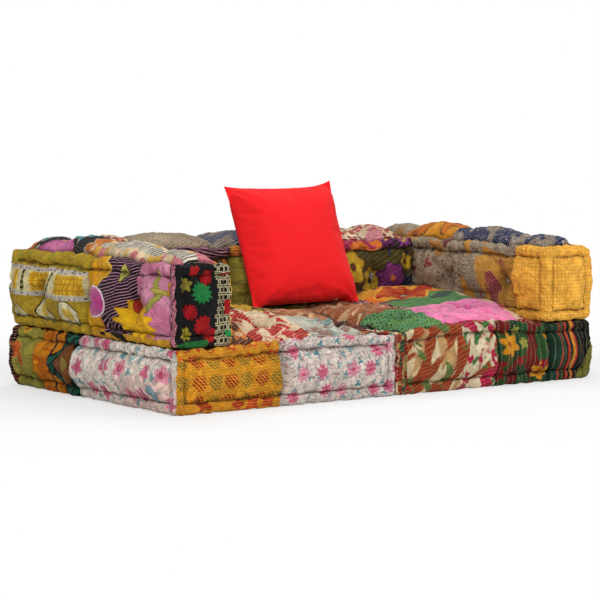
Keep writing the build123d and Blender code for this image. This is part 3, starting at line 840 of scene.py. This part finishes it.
seat_patches = {
    "seat_left": [
        [patch(scroll_floral, right=0.09), patch(zigzag_diamonds, left=0.09, right=0.371),
         patch(olive_ovals, left=0.371, right=0.567), patch(maroon_patch, left=0.567)],
        [patch(green_garden), patch(tan_patch, left=-0.2, right=0.2)],
        [patch(marigold_discs, right=-0.531), patch(daisy_floral, left=-0.531)],
        [patch(red_zigzag, right=-0.5), patch(pale_stitched, left=-0.5)],
        [patch(underside)],
        [patch(tan_patch), patch(brown_flowers, right=-0.63, high=-0.3),
         patch(red_leaves, left=-0.63, right=-0.36, high=-0.25),
         patch(pale_stitched, left=-0.36, right=-0.13, high=-0.33),
         patch(maroon_patch, left=-0.13, high=-0.22),
         patch(yellow_strokes, left=-0.7, right=-0.33, low=-0.25, high=0.1),
         patch(orange_band, right=-0.33, low=0.1), patch(daisy_floral, right=-0.7, low=-0.3, high=0.1)],
    ],
    "seat_right": [
        [patch(red_leaves), patch(marigold_discs, left=-0.1, right=0.3)],
        [patch(ribbon_stripes), patch(olive_ovals, left=-0.3, right=0.05),
         patch(daisy_floral, left=0.05, right=0.4), patch(orange_band, left=0.4)],
        [patch(rust_blotches, right=0.504), patch(green_garden, left=0.504, right=0.775),
         patch(ribbon_stripes, left=0.775)],
        [patch(zigzag_diamonds, right=0.45), patch(rust_blotches, left=0.45)],
        [patch(underside)],
        [patch(orange_band), patch(tan_patch, right=0.27, low=-0.29),
         patch(bright_green, right=0.27, high=-0.29), patch(satin_pink, left=0.27, right=0.66, high=-0.29),
         patch(red_diamond, left=0.27, right=0.66, low=-0.29, high=0.15),
         patch(red_zigzag, left=0.66, high=-0.05)],
    ],
}

roll = 0.021
half_long, half_deep = 1.0002, 0.6
seat_gap, seat_top, bolster_rest = 0.0006, 0.24, 0.2396
pillow_middle = 0.04
dome_across = ([0.0, 0.02, 0.05, 0.10, 0.20, 0.33, 0.50, 0.67, 0.83, 0.93, 0.98, 1.0],
               [0.04, 0.25, 0.42, 0.54, 0.60, 0.63, 0.86, 1.0, 0.96, 0.78, 0.45, 0.04])
dome_along = ([0.0, 0.08, 0.2, 0.36, 0.52, 0.70, 0.84, 0.94, 0.985, 1.0],
              [0.0, 0.22, 0.49, 0.75, 0.92, 1.0, 0.965, 0.80, 0.45, 0.0])
dome_end, dome_front, dome_rear = 0.7495, 0.558, 0.2296
for name, side, seed in (("seat_left", -1, 0.4), ("seat_right", 1, 2.3)):
    low, high = corners_of(side, seat_gap, 0.0, seat_top)
    seat, points = cut_block(name + "_mattress", low, high, (85, 99, 27), roll)
    lay_out(seat, points)
    low, high = np.array(low), np.array(high)
    shaped, depth, sides, flat, line = sew_rolls(points, low, high, roll, seed)
    swell_sides(shaped, points, depth, sides, flat, low, high, (0.027, 0.014),
                [(0, side, 0.014), (1, -1, 0.005), (1, 1, 0.004)], seed)
    join_panels(shaped, points, depth, sides, flat, line, roll, seat_patches[name])
    washers = find_washers(name + "_washers", (low + high) / 2)
    upper = np.array([middle for middle, out in washers if out[2] > 0.3])
    share_x = (np.abs(shaped[:, 0]) - 2 * roll) / (dome_end - 2 * roll)
    share_y = (shaped[:, 1] + dome_front) / (dome_rear + dome_front)
    dome = 0.1 * np.interp(share_x, *dome_across, 0, 0) * np.interp(share_y, *dome_along, 0, 0)
    top = flat[:, 2] & (sides[:, 2] > 0)
    tuft_gap = np.linalg.norm(shaped[:, None, :2] - upper[None, :, :2], axis=2).min(1)
    free = 1 - smooth(shaped[:, 1], -0.18, -0.05) * (1 - smooth(shaped[:, 0], 0.33, 0.42))
    lumps = 0.017 * smooth(tuft_gap, 0.02, 0.13) * free
    hollow = np.exp(-((shaped[:, 0] - 0.45) / 0.1) ** 2 - ((shaped[:, 1] + 0.07) / 0.08) ** 2)
    crest = np.exp(-((shaped[:, 0] - 0.44) / 0.2) ** 2 - ((shaped[:, 1] + 0.2) / 0.13) ** 2)
    lumps = lumps * (1 - np.clip(1.2 * crest, 0, 1)) - 0.015 * hollow
    lumps += 0.004 * ripple(shaped[:, 0], seed, 0.31) * ripple(shaped[:, 1], seed + 1, 0.27) * free
    shaped[:, 2] += top * (dome + lumps * smooth(dome, 0.006, 0.05))
    arch = 0.028 * np.sin(math.pi * np.clip(np.abs(points[:, 0]) / 0.74, 0, 1))
    arch *= 1 - smooth(points[:, 1], -0.52, -0.25)
    shaped[:, 2] += arch * smooth(points[:, 2], 0.1, 0.235) * (1.0 if side > 0 else 0.35)
    held = pull_tufts(shaped, (flat * sides).T, washers, line, hole=0.021, reach=0.066, seed=seed)
    under_pillow = (np.abs(shaped[:, 0] - pillow_middle) < 0.3) & (shaped[:, 1] > -0.09) & top
    held = np.maximum(held, np.maximum(under_pillow, top * np.maximum(crest, hollow) * 0.9))
    walls = [(0, -side, side * seat_gap, None), (2, -1, 0.0, None),
             (2, 1, bolster_rest, lambda p: (np.abs(p[:, 0]) > 0.7492) | (p[:, 1] > 0.2294))]
    make_up(seat, shaped, held, (depth, sides, flat, line), low, high, seat_patches[name], walls)
    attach(seat, name)
    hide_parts(name + "_cover", name + "_base_cloth", name + "_filling")

# Arm bolsters: two firm bolsters, 250 x 1200 x 300 mm, standing on the seats at both sides. Three
# twine tufts run through each from side to side, so the bolster swells into lobes between them.
gold_bars = stripes("e3b838", pitch=0.022, wave=0.01, wave_scale=9.0)
cross_bars = stripes("c08a1e", turn=quarter, pitch=0.022, share=0.2, wave=0.01, wave_scale=9.0)
olive_bars = stripes("8f8a52", turn=quarter, pitch=0.02, share=0.4, wave_scale=1.0)
mango_border = fabric(
    "olive and gold with mango leaves", "b4942c",
    blots("a3982f", scale=20.0, turn=0.2, stretch=2.0),
    panel("b0922a",
          *[flower("e8dcae dcb84e 2f2815", x=x, y=0.315, radius=0.047, tall=tall, petals=3.0, depth=0.15,
                   turn=1.57, heart=0.5, ragged=0.05)
            for x, tall in ((0.32, 1.35), (0.115, 1.35), (0.52, 1.1))],
          low=0.2, high=0.372, waver=0.01),
    panel("dccf9c",
          *[panel("cf981c", gold_bars, cross_bars, left=left, right=right, low=0.39, high=0.464, waver=0.01)
            for left, right in ((0.03, 0.195), (0.26, 0.41))],
          panel("c98f18", gold_bars, left=0.47, right=0.54, low=0.39, high=0.464, waver=0.01),
          *[panel("3c3a22", olive_bars, left=left, right=right, low=0.38, high=0.475, waver=0.004)
            for left, right in ((0.234, 0.25), (0.434, 0.448))],
          low=0.384, high=0.47, waver=0.006),
    *[panel("c9bdae", specks("2b2420", scale=90.0, size=0.3), low=low, high=high, waver=0.01)
      for low, high in ((0.37, 0.386), (0.468, 0.486))],
    furrow=0.014, fading=0.4)
leaf = partial(flower, petals=2.0, heart=0.0)
big_bloom = fabric(
    "mauve with a yellow bloom", "c67492",
    blots("d08aa4", scale=6.0, level=0.5, turn=0.7, stretch=2.0),
    panel("141013", stripes("b88298", turn=1.25, pitch=0.0125, share=0.26, wave=0.09, wave_scale=4.5),
          left=-0.34, waver=0.05),
    flower("d9981f e8b82c e8c24a", x=-0.05, y=0.49, radius=0.1, depth=0.14, turn=0.5, heart=0.0, ragged=0.12),
    flower("dba022 dba022 c9781d", x=-0.03, y=0.29, radius=0.1, depth=0.14, turn=0.2, heart=0.0, ragged=0.12),
    flower("c4488c cf6aa4 f0dbe2", x=-0.075, y=0.382, radius=0.085, tall=0.62, petals=1.0, depth=0.3,
           turn=3.14, heart=0.5, ragged=0.05),
    leaf("a09a4a a09a4a 5c5a20", x=-0.5, y=0.47, tall=0.28, turn=1.2),
    leaf("a8984a a8984a 6a5a20", x=-0.53, y=0.44, radius=0.04, tall=0.3, turn=0.2),
    leaf("a09a4a a09a4a 5c5a20", x=-0.49, y=0.4, radius=0.045, tall=0.32, turn=-0.7),
    leaf("a3742e a3742e 7a4a20", x=-0.41, y=0.42, tall=0.22, turn=0.9),
    flower("e0a52c c9702a b5651b", x=-0.575, y=0.46, radius=0.024, tall=1.3, turn=0.5),
    panel("c9962a", blots("1d1714", scale=14.0, turn=0.2, stretch=3.0), high=0.262, waver=0.02),
    flower("efbb1e e8a826 d99a1c", x=-0.36, y=0.325, radius=0.115, tall=0.58, petals=11.0, depth=0.17,
           ragged=0.12),
    flower("c93a2a c93a2a 8f2418", x=-0.335, y=0.38, radius=0.02, tall=1.3, petals=3.0, depth=0.1, turn=0.2,
           heart=0.0),
    flower("b8b054 8f8a3a 5a5424", x=-0.252, y=0.5, radius=0.026, tall=1.2, petals=4.0, depth=0.16, heart=0.5,
           ragged=0.05),
    panel("16110f",
          panel("b9798a", scrolls("7a1f30", scale=60.0, width=0.05, curl=1.2),
                specks("ead9c8", scale=90.0, size=0.2), right=-0.576, waver=0.01),
          right=-0.565, waver=0.008),
    fading=0.4)
carnation = partial(flower, depth=0.12, turn=0.4, heart=0.0, ragged=0.5)
spray = partial(flower, tall=0.8, petals=7.0, depth=0.12, turn=0.9, heart=0.0, ragged=0.7)
bud = partial(flower, radius=0.022, tall=1.2, petals=6.0, turn=0.2, heart=0.0, ragged=0.7)
black_garden = fabric(
    "black with red flowers", "121113",
    stitches("3a3838", row=0.0085, stitch=0.007, turn=1.57, thick=0.05),
    flower("247a3e 247a3e 14502a", x=-0.894, y=0.441, radius=0.034, tall=1.1, petals=13.0, depth=0.14,
           heart=0.0, ragged=0.5),
    carnation("96141a 96141a 5a0c10", x=-0.94, y=0.373, radius=0.024, tall=1.1, petals=11.0),
    carnation("a5181c a5181c 5a0c10", x=-0.89, y=0.325, radius=0.034, petals=12.0),
    carnation("ad1a1e ad1a1e 5a0c10", x=-0.848, y=0.284, radius=0.028, tall=1.1, petals=11.0),
    spray("96141a 96141a 5a0c10", x=-0.865, y=0.495, radius=0.03),
    spray("a5181c a5181c 5a0c10", x=-0.915, y=0.525, radius=0.024),
    bud("857a2c 857a2c 4a4418", x=-0.955, y=0.47), bud("9a8c2a 9a8c2a 4a4418", x=-0.955, y=0.29),
    panel("24682f", right=-0.86, high=0.262, waver=0.05),
    panel("191712", checks("c9bd95", wide=0.024, tall=0.027, line=0.42),
          checks("2a2620", wide=0.024, tall=0.027, line=0.14),
          panel("a81a22", left=-0.78, low=0.355, high=0.41, waver=0.004),
          panel("2c8a4a", left=-0.78, low=0.27, high=0.3, waver=0.004),
          panel("a81a22", left=-0.8, low=0.5, high=0.512), left=-0.83, waver=0.01), fading=0.3)
banded_floral = fabric(
    "cream floral with a striped band", "ddc49c",
    blots("dba83a", scale=9.0, level=0.52, turn=0.6, stretch=2.2),
    blots("cf6f7a", scale=10.0, level=0.57, turn=0.6, stretch=2.2, shift=6.0),
    panel("e6dcc8", stripes("1a1716", turn=quarter, pitch=0.011, share=0.45, wave=0.01, wave_scale=9.0),
          left=-0.93, right=-0.87, waver=0.05), stitches("efe6cf", thick=0.08))
teal_floral = fabric(
    "black with teal and orange", "211d1c",
    prints("2f9aa0 c9752a d9b48a b8a8a0", cell=0.11, tall=1.3, petals=5.0, depth=0.35, size=0.36,
           heart=0.12, show=0.8, rim=0.04), blots("c9752a", level=0.58, turn=0.6, stretch=2.0),
    flower("d977a8 d977a8 c9609a", x=-0.965, y=0.33, radius=0.06, tall=2.2, petals=3.0, depth=0.1,
           heart=0.0, ragged=0.2), stitches("8f8a86", thick=0.08))
grey_motifs = fabric(
    "grey beige with small motifs", "a8977e",
    specks("43362c", scale=50.0, size=0.24),
    stitches("5a4a3e", row=0.01, stitch=0.016, turn=0.5, thick=0.12),
    blots("a8742e", scale=6.0, level=0.58, turn=0.6, stretch=1.6),
    prints("8f2433 6a2430", cell=0.12, petals=3.0, depth=0.4, size=0.17, heart=0.0, show=0.5),
    stitches("bfae94", row=0.009, stitch=0.006, turn=1.2, thick=0.1), fading=0.45)
grey_orange = fabric(
    "grey with orange patches", "a89880",
    stitches("4f443a", row=0.0085, stitch=0.02, turn=0.9, thick=0.16),
    stitches("6a5c4c", row=0.011, stitch=0.017, turn=2.0, thick=0.12),
    blots("c48a2c", scale=7.5, level=0.49, turn=1.2, stretch=1.8, shift=3.0),
    blots("8f3040", scale=11.0, level=0.62, turn=1.2, stretch=2.4, shift=8.0),
    stitches("cfc0a2", row=0.009, stitch=0.006, turn=0.8, thick=0.1), fading=0.45)
amber_check = fabric(
    "amber check weave", "fdc455",
    checks("eea638", wide=0.0135, tall=0.0135, line=0.34),
    prints("f9c765 f5be58", cell=0.0135, stagger=0.0, size=0.2, heart=0.0), fading=0.3, furrow=0.0135)
navy_paisley = fabric(
    "grey with navy paisley", "948573",
    specks("4f453e", scale=80.0, size=0.26),
    blots("2c3356", scale=11.0, level=0.51, turn=0.6, stretch=2.4, shift=2.0),
    scrolls("cfc6ba", scale=14.0, width=0.008, curl=1.6), specks("b8b0a6", scale=110.0, size=0.16),
    stitches("b5aca0", row=0.01, stitch=0.007, turn=0.2, thick=0.06), fading=0.4)
orange_yellow = fabric(
    "orange and yellow", "d98f1f",
    prints("e0a92c c96a1c 8f3a1a 2a1d14", cell=0.2, petals=5.0, depth=0.25, size=0.4, show=0.8, rim=0.02),
    stitches("efcf8a", thick=0.08))

arm_patches = {
    "arm_left": [
        [patch(big_bloom, right=0.01), patch(mango_border, left=0.01)],
        [patch(teal_floral), patch(amber_check, right=-0.2), patch(navy_paisley, left=-0.2, right=0.1)],
        [patch(black_garden)],
        [patch(grey_motifs)],
        [patch(underside)],
        [patch(banded_floral, high=0.05), patch(teal_floral, low=0.05)],
    ],
    "arm_right": [
        [patch(amber_check, right=-0.4), patch(grey_orange, left=-0.4, right=-0.073),
         patch(grey_motifs, left=-0.073)],
        [patch(amber_check, right=-0.25), patch(navy_paisley, left=-0.25, right=0.2),
         patch(scroll_floral, left=0.2)],
        [patch(amber_check)],
        [patch(green_garden)],
        [patch(underside)],
        [patch(navy_paisley, high=0.05), patch(orange_yellow, low=0.05, high=0.36),
         patch(grey_motifs, low=0.36)],
    ],
}


def make_bolster(name, low, high, cuts, run, shares, crest_along, seed, patches, walls, outer, calm):
    """A rolled-edge bolster whose faces swell between its tufts; calm says how free a point is to swell."""
    bolster, points = cut_block(name + "_bolster", low, high, cuts, roll)
    lay_out(bolster, points)
    low, high = np.array(low), np.array(high)
    shaped, depth, sides, flat, line = sew_rolls(points, low, high, roll, seed)
    along = (points[:, run] - low[run]) / (high - low)[run]
    stops = np.array([0.0] + shares + [1.0])
    lobe = np.clip(np.searchsorted(stops, along, side="right") - 1, 0, len(stops) - 2)
    step = (along - stops[lobe]) / (stops[lobe + 1] - stops[lobe])
    full = np.sin(math.pi * np.clip(step, 0, 1)) ** 0.7
    ends = (lobe == 0) & (step < 0.5) | (lobe == len(stops) - 2) & (step > 0.5)
    full = np.where(ends, np.maximum(full, 0.75), full)
    cross = 1 - run
    amounts = [(0.026 if run else 0.018) * full if axis == cross else 0.014 for axis in (0, 1)]
    swell_sides(shaped, points, depth, sides, flat, low, high, amounts, outer, seed, calm(shaped))
    shaped[:, cross] -= sides[:, cross] * (1 - full) * 0.007 * smooth(depth[:, run], roll, 3 * roll)
    middle = (low[cross] + high[cross]) / 2
    half = (high[cross] - low[cross]) / 2
    bow = np.clip(1 - (np.abs(shaped[:, cross] - middle) / (half - 1.2 * roll)) ** 2, 0, 1)
    upper = smooth(points[:, 2], low[2] + 0.2, high[2] - 0.02)
    crown = np.interp(along, *crest_along) * (0.72 + 0.28 * full) * bow
    shaped[:, 2] += upper * smooth(depth[:, run], 0.0, 0.06) * (crown - 0.012 * (1 - full))
    join_panels(shaped, points, depth, sides, flat, line, roll, patches)
    washers = find_washers(name + "_washers", (low + high) / 2)
    held = pull_tufts(shaped, (flat * sides).T, washers, line, hole=0.010, reach=0.115, seed=seed)
    make_up(bolster, shaped, held, (depth, sides, flat, line), low, high, patches, walls)
    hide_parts(name + "_cover", name + "_base_cloth", name + "_filling")
    return bolster


arm_inner, bolster_low, bolster_top, crown_top = 0.7503, 0.2404, 0.5403, 0.345
bolster_cuts_deep, bolster_cuts_tall = 99, 32


def arm_free(points):
    """How free a point of an arm is to swell: not beside the seat's crown or the back."""
    beside = smooth(points[:, 2], 0.335, 0.4) * (1 - smooth(points[:, 1], 0.12, 0.2))
    return np.maximum(beside, np.abs(points[:, 0]) > 0.86)


for name, side, seed in (("arm_left", -1, 5.1), ("arm_right", 1, 0.9)):
    low, high = corners_of(side, arm_inner, bolster_low, bolster_top)
    walls = [(0, -side, side * arm_inner, lambda p: (p[:, 2] < crown_top) | (p[:, 1] > 0.2296)),
             (2, -1, bolster_low, None)]
    crest_along = ([0, 0.05, 0.2, 0.45, 0.75, 0.92, 1], [0.02, 0.036, 0.05, 0.066, 0.066, 0.045, 0.02])
    arm = make_bolster(
        name, low, high, (29, bolster_cuts_deep, bolster_cuts_tall), run=1, shares=[0.21, 0.5, 0.79],
        crest_along=crest_along, seed=seed, patches=arm_patches[name], walls=walls,
        outer=[(0, side, 0.016), (1, -1, 0.006), (1, 1, 0.004)], calm=arm_free)
    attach(arm, name)

# Back bolster: one long firm bolster, 1500 x 370 x 300 mm, between the arms, with four columns of
# tufts pulled from its front face to its rear face, made from the same pieced cotton.
red_sprigs = fabric(
    "cream with red sprigs", "d9bf9c",
    prints("a8202a 8f2a2e e0a83a 3a1c18", cell=0.06, petals=4.0, depth=0.4, size=0.38, show=0.9, rim=0.03),
    blots("cf7a86", scale=10.0, level=0.6, turn=0.5, stretch=2.0), stitches("efe0c8", thick=0.08))
beige_speckle = fabric(
    "beige grey speckle", "a39178",
    specks("6a5c4c", scale=90.0, size=0.26), scrolls("8f7a5c", scale=30.0, width=0.03, curl=1.5),
    stitches("c9bda6", row=0.01, stitch=0.007, turn=0.3, thick=0.14), fading=0.4)
navy_stitched = fabric(
    "navy with white stitches", "383f5c",
    blots("857a68", scale=6.0, level=0.52, turn=0.4, stretch=1.8),
    specks("aaa69e", scale=120.0, size=0.13), stitches("d9d5cc", row=0.013, turn=0.2, thick=0.14),
    fading=0.4)
pink_stripes = fabric(
    "black with pink stripes", "1c1518",
    stripes("b8788f", turn=1.4, pitch=0.014, share=0.34, wave=0.03, wave_scale=10.0),
    stitches("8f8088", thick=0.06))
marigold_roll = fabric(
    "orange roll", "d9962c",
    blots("c9702a", scale=9.0, level=0.5, turn=0.4, stretch=1.6), specks("2a1a14", scale=40.0, size=0.14),
    stitches("efcf8a", thick=0.08))
dark_brown = fabric(
    "dark brown with orange", "4a2c17",
    prints("a8641f 6a2418 d9a04a 1a110c", cell=0.11, tall=1.2, petals=5.0, depth=0.3, size=0.32, show=0.7,
           rim=0.03), stitches("9a7a52", thick=0.08))
aster = partial(flower, tall=1.1, depth=0.14, turn=0.6, ragged=0.15)
plum_garden = fabric(
    "plum and yellow flowers", "4a3f1a",
    blots("262c44", scale=8.0, level=0.52, turn=1.0, stretch=1.6, shift=4.0),
    flower("cfa92c 5a2a1c 7a4a1c", x=0.4, y=0.43, radius=0.062, tall=1.2, petals=6.0, depth=0.14, turn=0.2,
           heart=0.25, ragged=0.15),
    aster("c9a52c 3a1c18 7a4a1c", x=0.515, y=0.37, petals=6.0),
    flower("7a3070 b8602a 4a1c44", x=0.62, y=0.375, radius=0.062, petals=7.0, depth=0.12, turn=0.1,
           heart=0.2, ragged=0.15),
    aster("c9a52c 5a3a1c 7a4a1c", x=0.7, y=0.44, radius=0.034),
    aster("c9a52c 3a1c18 7a4a1c", x=0.345, y=0.34, radius=0.04, petals=6.0),
    panel("d9752c", blots("b03058", scale=11.0, level=0.5, turn=0.3, stretch=1.5, shift=2.0),
          blots("e0c9a8", level=0.58, turn=0.3, stretch=1.5, shift=7.0), right=0.57, low=0.505, waver=0.02),
    panel("3a2230",
          prints("7f3a7a 6a2a64 c9a52c 2a1424", cell=0.1, petals=9.0, depth=0.3, size=0.36, rim=0.03),
          left=0.57, low=0.505, waver=0.02), stitches("a09a80", row=0.02, turn=0.5, thick=0.03),
    fading=0.45)
back_patches = [
    [patch(red_sprigs)],
    [patch(red_sprigs)],
    [patch(dark_brown), patch(plum_garden, left=0.2),
     patch(pink_stripes, left=-0.58, right=-0.19, low=0.5),
     patch(marigold_roll, left=-0.19, right=0.2, low=0.5),
     patch(olive_ovals, left=-0.19, right=0.2, high=0.5)],
    [patch(grey_motifs), patch(rust_blotches, left=-0.6, right=-0.24),
     patch(teal_floral, left=-0.24, right=0.15), patch(yellow_strokes, left=0.15, right=0.54)],
    [patch(underside)],
    [patch(red_sprigs), patch(beige_speckle, left=-0.6, right=-0.24),
     patch(navy_stitched, left=-0.24, right=0.15), patch(pink_stripes, left=-0.55, right=-0.19, high=0.27),
     patch(marigold_roll, left=-0.19, right=0.15, high=0.27)],
]
back_end, back_front = 0.7497, 0.2303


def by_pillow(points):
    return np.abs(points[:, 0] - pillow_middle) < 0.27


def back_free(points):
    """How free a point of the back is to swell: not beside a seat's crown or an arm."""
    beside = smooth(points[:, 2], 0.335, 0.4) * (1 - smooth(np.abs(points[:, 0]), 0.66, 0.73))
    return np.maximum(beside, points[:, 1] > 0.4)


back = make_bolster(
    "back", Vector((-back_end, back_front, bolster_low)), Vector((back_end, half_deep, bolster_top)),
    (121, 37, bolster_cuts_tall), run=0, shares=[0.10, 0.34, 0.60, 0.86],
    crest_along=([0, 0.1, 0.3, 0.6, 0.9, 1], [0.045, 0.054, 0.05, 0.05, 0.052, 0.045]), seed=3.3,
    patches=back_patches, outer=[(1, 1, 0.005)], calm=back_free,
    walls=[(0, -1, -back_end, None), (0, 1, back_end, None), (2, -1, bolster_low, None),
           (1, -1, back_front, lambda p: (p[:, 2] < crown_top) | (p[:, 2] > 0.47) & by_pillow(p)),
           (2, 1, 0.5402, lambda p: (p[:, 1] < 0.268) & by_pillow(p))])
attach(back, "back")

# Throw pillow: a 500 mm square insert in a plain red cotton cover, leaning on the back bolster. The
# cover is sewn from two squares with sharp corners, and a zip runs along its bottom seam.
plain_weave, g = new_group("plain weave", {"Tone": "Float", "Height": "Float"}, place=None)
u, _, v = made("ShaderNodeSeparateXYZ", g.place)
threads = calc("SINE", v * 5200.0) + calc("SINE", u * 5200.0)
drawn_out = made("ShaderNodeVectorMath", g.place, (18.0, 18.0, 420.0), operation="MULTIPLY")[0]
slub = noise(drawn_out, 1.0, 2.0)
tone = calc("MULTIPLY_ADD", slub - 0.5, 0.16, calc("MULTIPLY_ADD", noise(g.place, 6.0, 3.0), 0.12, 0.94))
deliver(tone, calc("MULTIPLY_ADD", threads, 0.05, slub))


def own_place(tree):
    """A point's place in the object's own coordinates."""
    return Field(tree.nodes.new("ShaderNodeTexCoord").outputs["Object"])


def plain_red(tree):
    tone, height = made("ShaderNodeGroup", own_place(tree), node_tree=plain_weave)
    return dye("e8181c"), tone, height, 0.35, 0.0006, {
        "Roughness": 0.85, "Sheen Weight": 0.03, "Specular IOR Level": 0.2}


red_cotton = coat("red cotton", plain_red)
pillow_half, pillow_deep = 0.26, 0.089
lean = math.radians(23)
bpy.ops.object.select_all(action="DESELECT")
bpy.ops.mesh.primitive_cube_add(size=1)
pillow = bpy.context.object
pillow.name = "throw_pillow"
for axis in (0, 2):
    cut_across(pillow, axis, 63)
points = points_of(pillow) * 2
across, face, up = points.T
across, up = [np.sign(a) * (1 - (1 - np.abs(a)) ** 1.25) for a in (across, up)]
level = np.clip((np.abs(across) ** 8 + np.abs(up) ** 8) ** 0.125, 0, 1)
thick = pillow_deep * (1 - level ** 2.6) ** 0.62 + 0.0012
bow_x = 0.034 * (1 - up ** 2)
bow_z = 0.036 * (1 - across ** 2)
ear = 0.007 * (np.abs(across) * np.abs(up)) ** 5
local_x = across * (pillow_half * (1 - bow_x * np.abs(across) ** 3) + ear)
local_z = up * (pillow_half * (1 - bow_z * np.abs(up) ** 3) + ear * (1 + 2.2 * (across > 0) * (up > 0)))
local_z += 0.25
zip_run = 1 - smooth(np.abs(local_x), 0.186, 0.225)
local_z = np.maximum(local_z, zip_run * 0.0153)
crease = np.zeros(len(points))
for place_x, place_z, seed in ((-1, -1, 0.3), (1, -1, 1.7), (-1, 1, 2.9), (1, 1, 4.1)):
    away_x, away_z = across - place_x, up - place_z
    gap = np.hypot(away_x, away_z)
    turn = np.arctan2(away_z * -place_z, away_x * -place_x)
    crease += np.sin(turn * 11 + seed * 3) * smooth(gap, 0.05, 0.25) * (1 - smooth(gap, 0.35, 0.9))
edge_pucker = ripple(local_x + local_z, 0.7, 0.07) * np.exp(-((1 - level) / 0.06) ** 2)
out = np.sign(face) * (thick + (0.0035 * crease + 0.002 * edge_pucker) * (level < 0.99) * (face < 0))
out = np.where(face > 0, np.minimum(out, thick), out)
base_y, base_z = 0.0446 - 0.004, 0.3052
placed = np.stack([pillow_middle + local_x, base_y + local_z * math.sin(lean) + out * math.cos(lean),
                   base_z + local_z * math.cos(lean) - out * math.sin(lean)], 1)
place_points(pillow, placed)
pillow.data.update()
held = np.maximum((level > 0.975) * 1.0, (face > 0) * 0.95)
stuff(pillow, held, pressure=3.0, slack=0.02, cap=0.008)
refine(pillow)
bpy.ops.object.shade_smooth()
pillow.data.materials.append(red_cotton)
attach(pillow, "pillow")
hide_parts("pillow_cover", "pillow_filling")

# Fittings: grey felt washers under the tufts, cotton twine pulled through the wadding, a nylon coil
# zip dyed to match the pillow and its small nickel slider.


def fitting(name, slot, colour, rough, metal, grain, stretch, amount, bump):
    """A plain finish with grain on the object's own coordinates, given to the nodes of a slot."""
    def grainy(tree):
        place = made("ShaderNodeVectorMath", own_place(tree), stretch, operation="MULTIPLY")[0]
        fleck = noise(place, grain, 3.0, 0.6)
        return dye(colour), calc("MULTIPLY_ADD", fleck - 0.5, amount, 1.0), fleck, 0.5, bump, {
            "Roughness": calc("MULTIPLY_ADD", fleck, 0.2, rough), "Metallic": metal}

    material = coat(name, grainy)
    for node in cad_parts.values():
        if any(held and held.name.split(".")[0] == slot for held in node.data.materials):
            for index in range(len(node.data.materials)):
                node.data.materials[index] = material


fitting("grey felt", "felt", "6f6a62", 0.75, 0.0, 420.0, (1.0, 1.0, 1.0), 0.9, 0.0012)
fitting("cotton twine", "twine", "a89c84", 0.7, 0.0, 900.0, (1.0, 1.0, 0.25), 0.6, 0.0006)
fitting("red zip coil", "zip_coil", "b3161a", 0.35, 0.0, 1.0, (950.0, 40.0, 40.0), 1.0, 0.0005)
fitting("nickel slider", "zip_metal", "8f8c86", 0.3, 1.0, 300.0, (1.0, 6.0, 1.0), 0.3, 0.0001)

# Camera, light and floor: a plain pale studio, seen from the front left at sitting height.


def seen_directly(tree):
    """1 for what the camera sees, also in a mirror or through glass, and 0 for what only gives light."""
    rays = tree.nodes.new("ShaderNodeLightPath").outputs
    kinds = ("Is Camera Ray", "Is Glossy Ray", "Is Transmission Ray")
    camera, glossy, through = [Field(rays[kind]) for kind in kinds]
    return calc("MAXIMUM", camera, calc("MAXIMUM", glossy, through))


lens = bpy.data.cameras.new("camera")
lens.lens = 135.6
lens.shift_x = -0.0326
lens.shift_y = 0.0351
camera = bpy.data.objects.new("camera", lens)
bpy.context.scene.collection.objects.link(camera)
aim = Vector((0, -0.1, 0.25))
turn, rise = math.radians(36.2), math.radians(5.4)
back_off = Vector((-math.sin(turn) * math.cos(rise), -math.cos(turn) * math.cos(rise), math.sin(rise)))
camera.location = aim + 9 * back_off
camera.rotation_mode = "QUATERNION"
camera.rotation_quaternion = (-back_off).to_track_quat("-Z", "Y")
bpy.context.scene.camera = camera

bpy.ops.object.select_all(action="DESELECT")
bpy.ops.mesh.primitive_plane_add(size=60, location=(0, 0, -0.0005))
floor = bpy.context.object
floor.name = "studio_floor"
floor_white = bpy.data.materials.new("studio white")
floor_white.use_nodes = True
tree = floor_white.node_tree
plain = tree.nodes["Principled BSDF"]
plain.inputs["Base Color"].default_value = dye("ececec")
plain.inputs["Roughness"].default_value = 0.9
plain.inputs["Specular IOR Level"].default_value = 0.1
far = made("ShaderNodeVectorMath", own_place(tree), operation="LENGTH")[1]
faded = made("ShaderNodeMapRange", far, 1.0, 2.6, interpolation_type="SMOOTHSTEP")[0]
glow = add(tree, "ShaderNodeEmission", (1, 1, 1, 1), 1.0)
blend = add(tree, "ShaderNodeMixShader", seen_directly(tree) * calc("MULTIPLY_ADD", faded, 0.45, 0.55))
tree.links.new(plain.outputs[0], blend.inputs[1])
tree.links.new(glow.outputs[0], blend.inputs[2])
tree.links.new(blend.outputs[0], tree.nodes["Material Output"].inputs["Surface"])
floor.data.materials.append(floor_white)

world = bpy.data.worlds.new("studio")
bpy.context.scene.world = world
world.use_nodes = True
tree = world.node_tree
sky = tree.nodes["Background"]
sky.inputs["Color"].default_value = (1, 1, 1, 1)
plug_in(sky.inputs["Strength"], calc("MULTIPLY_ADD", seen_directly(tree), 0.61, 0.39))
softboxes = ((-3.3, -3.7, 3.3), 2.4, 165), ((3.5, -3.4, 2.6), 2.6, 95), ((0.5, 1.0, 4.0), 3.0, 60)
for place, size, power in softboxes:
    lamp = bpy.data.lights.new("softbox", "AREA")
    lamp.size = size
    lamp.energy = power
    holder = bpy.data.objects.new("softbox", lamp)
    bpy.context.scene.collection.objects.link(holder)
    holder.location = place
    holder.rotation_mode = "QUATERNION"
    holder.rotation_quaternion = (Vector((0, 0, 0.3)) - Vector(place)).to_track_quat("-Z", "Y")

bpy.context.scene.view_settings.view_transform = "Standard"
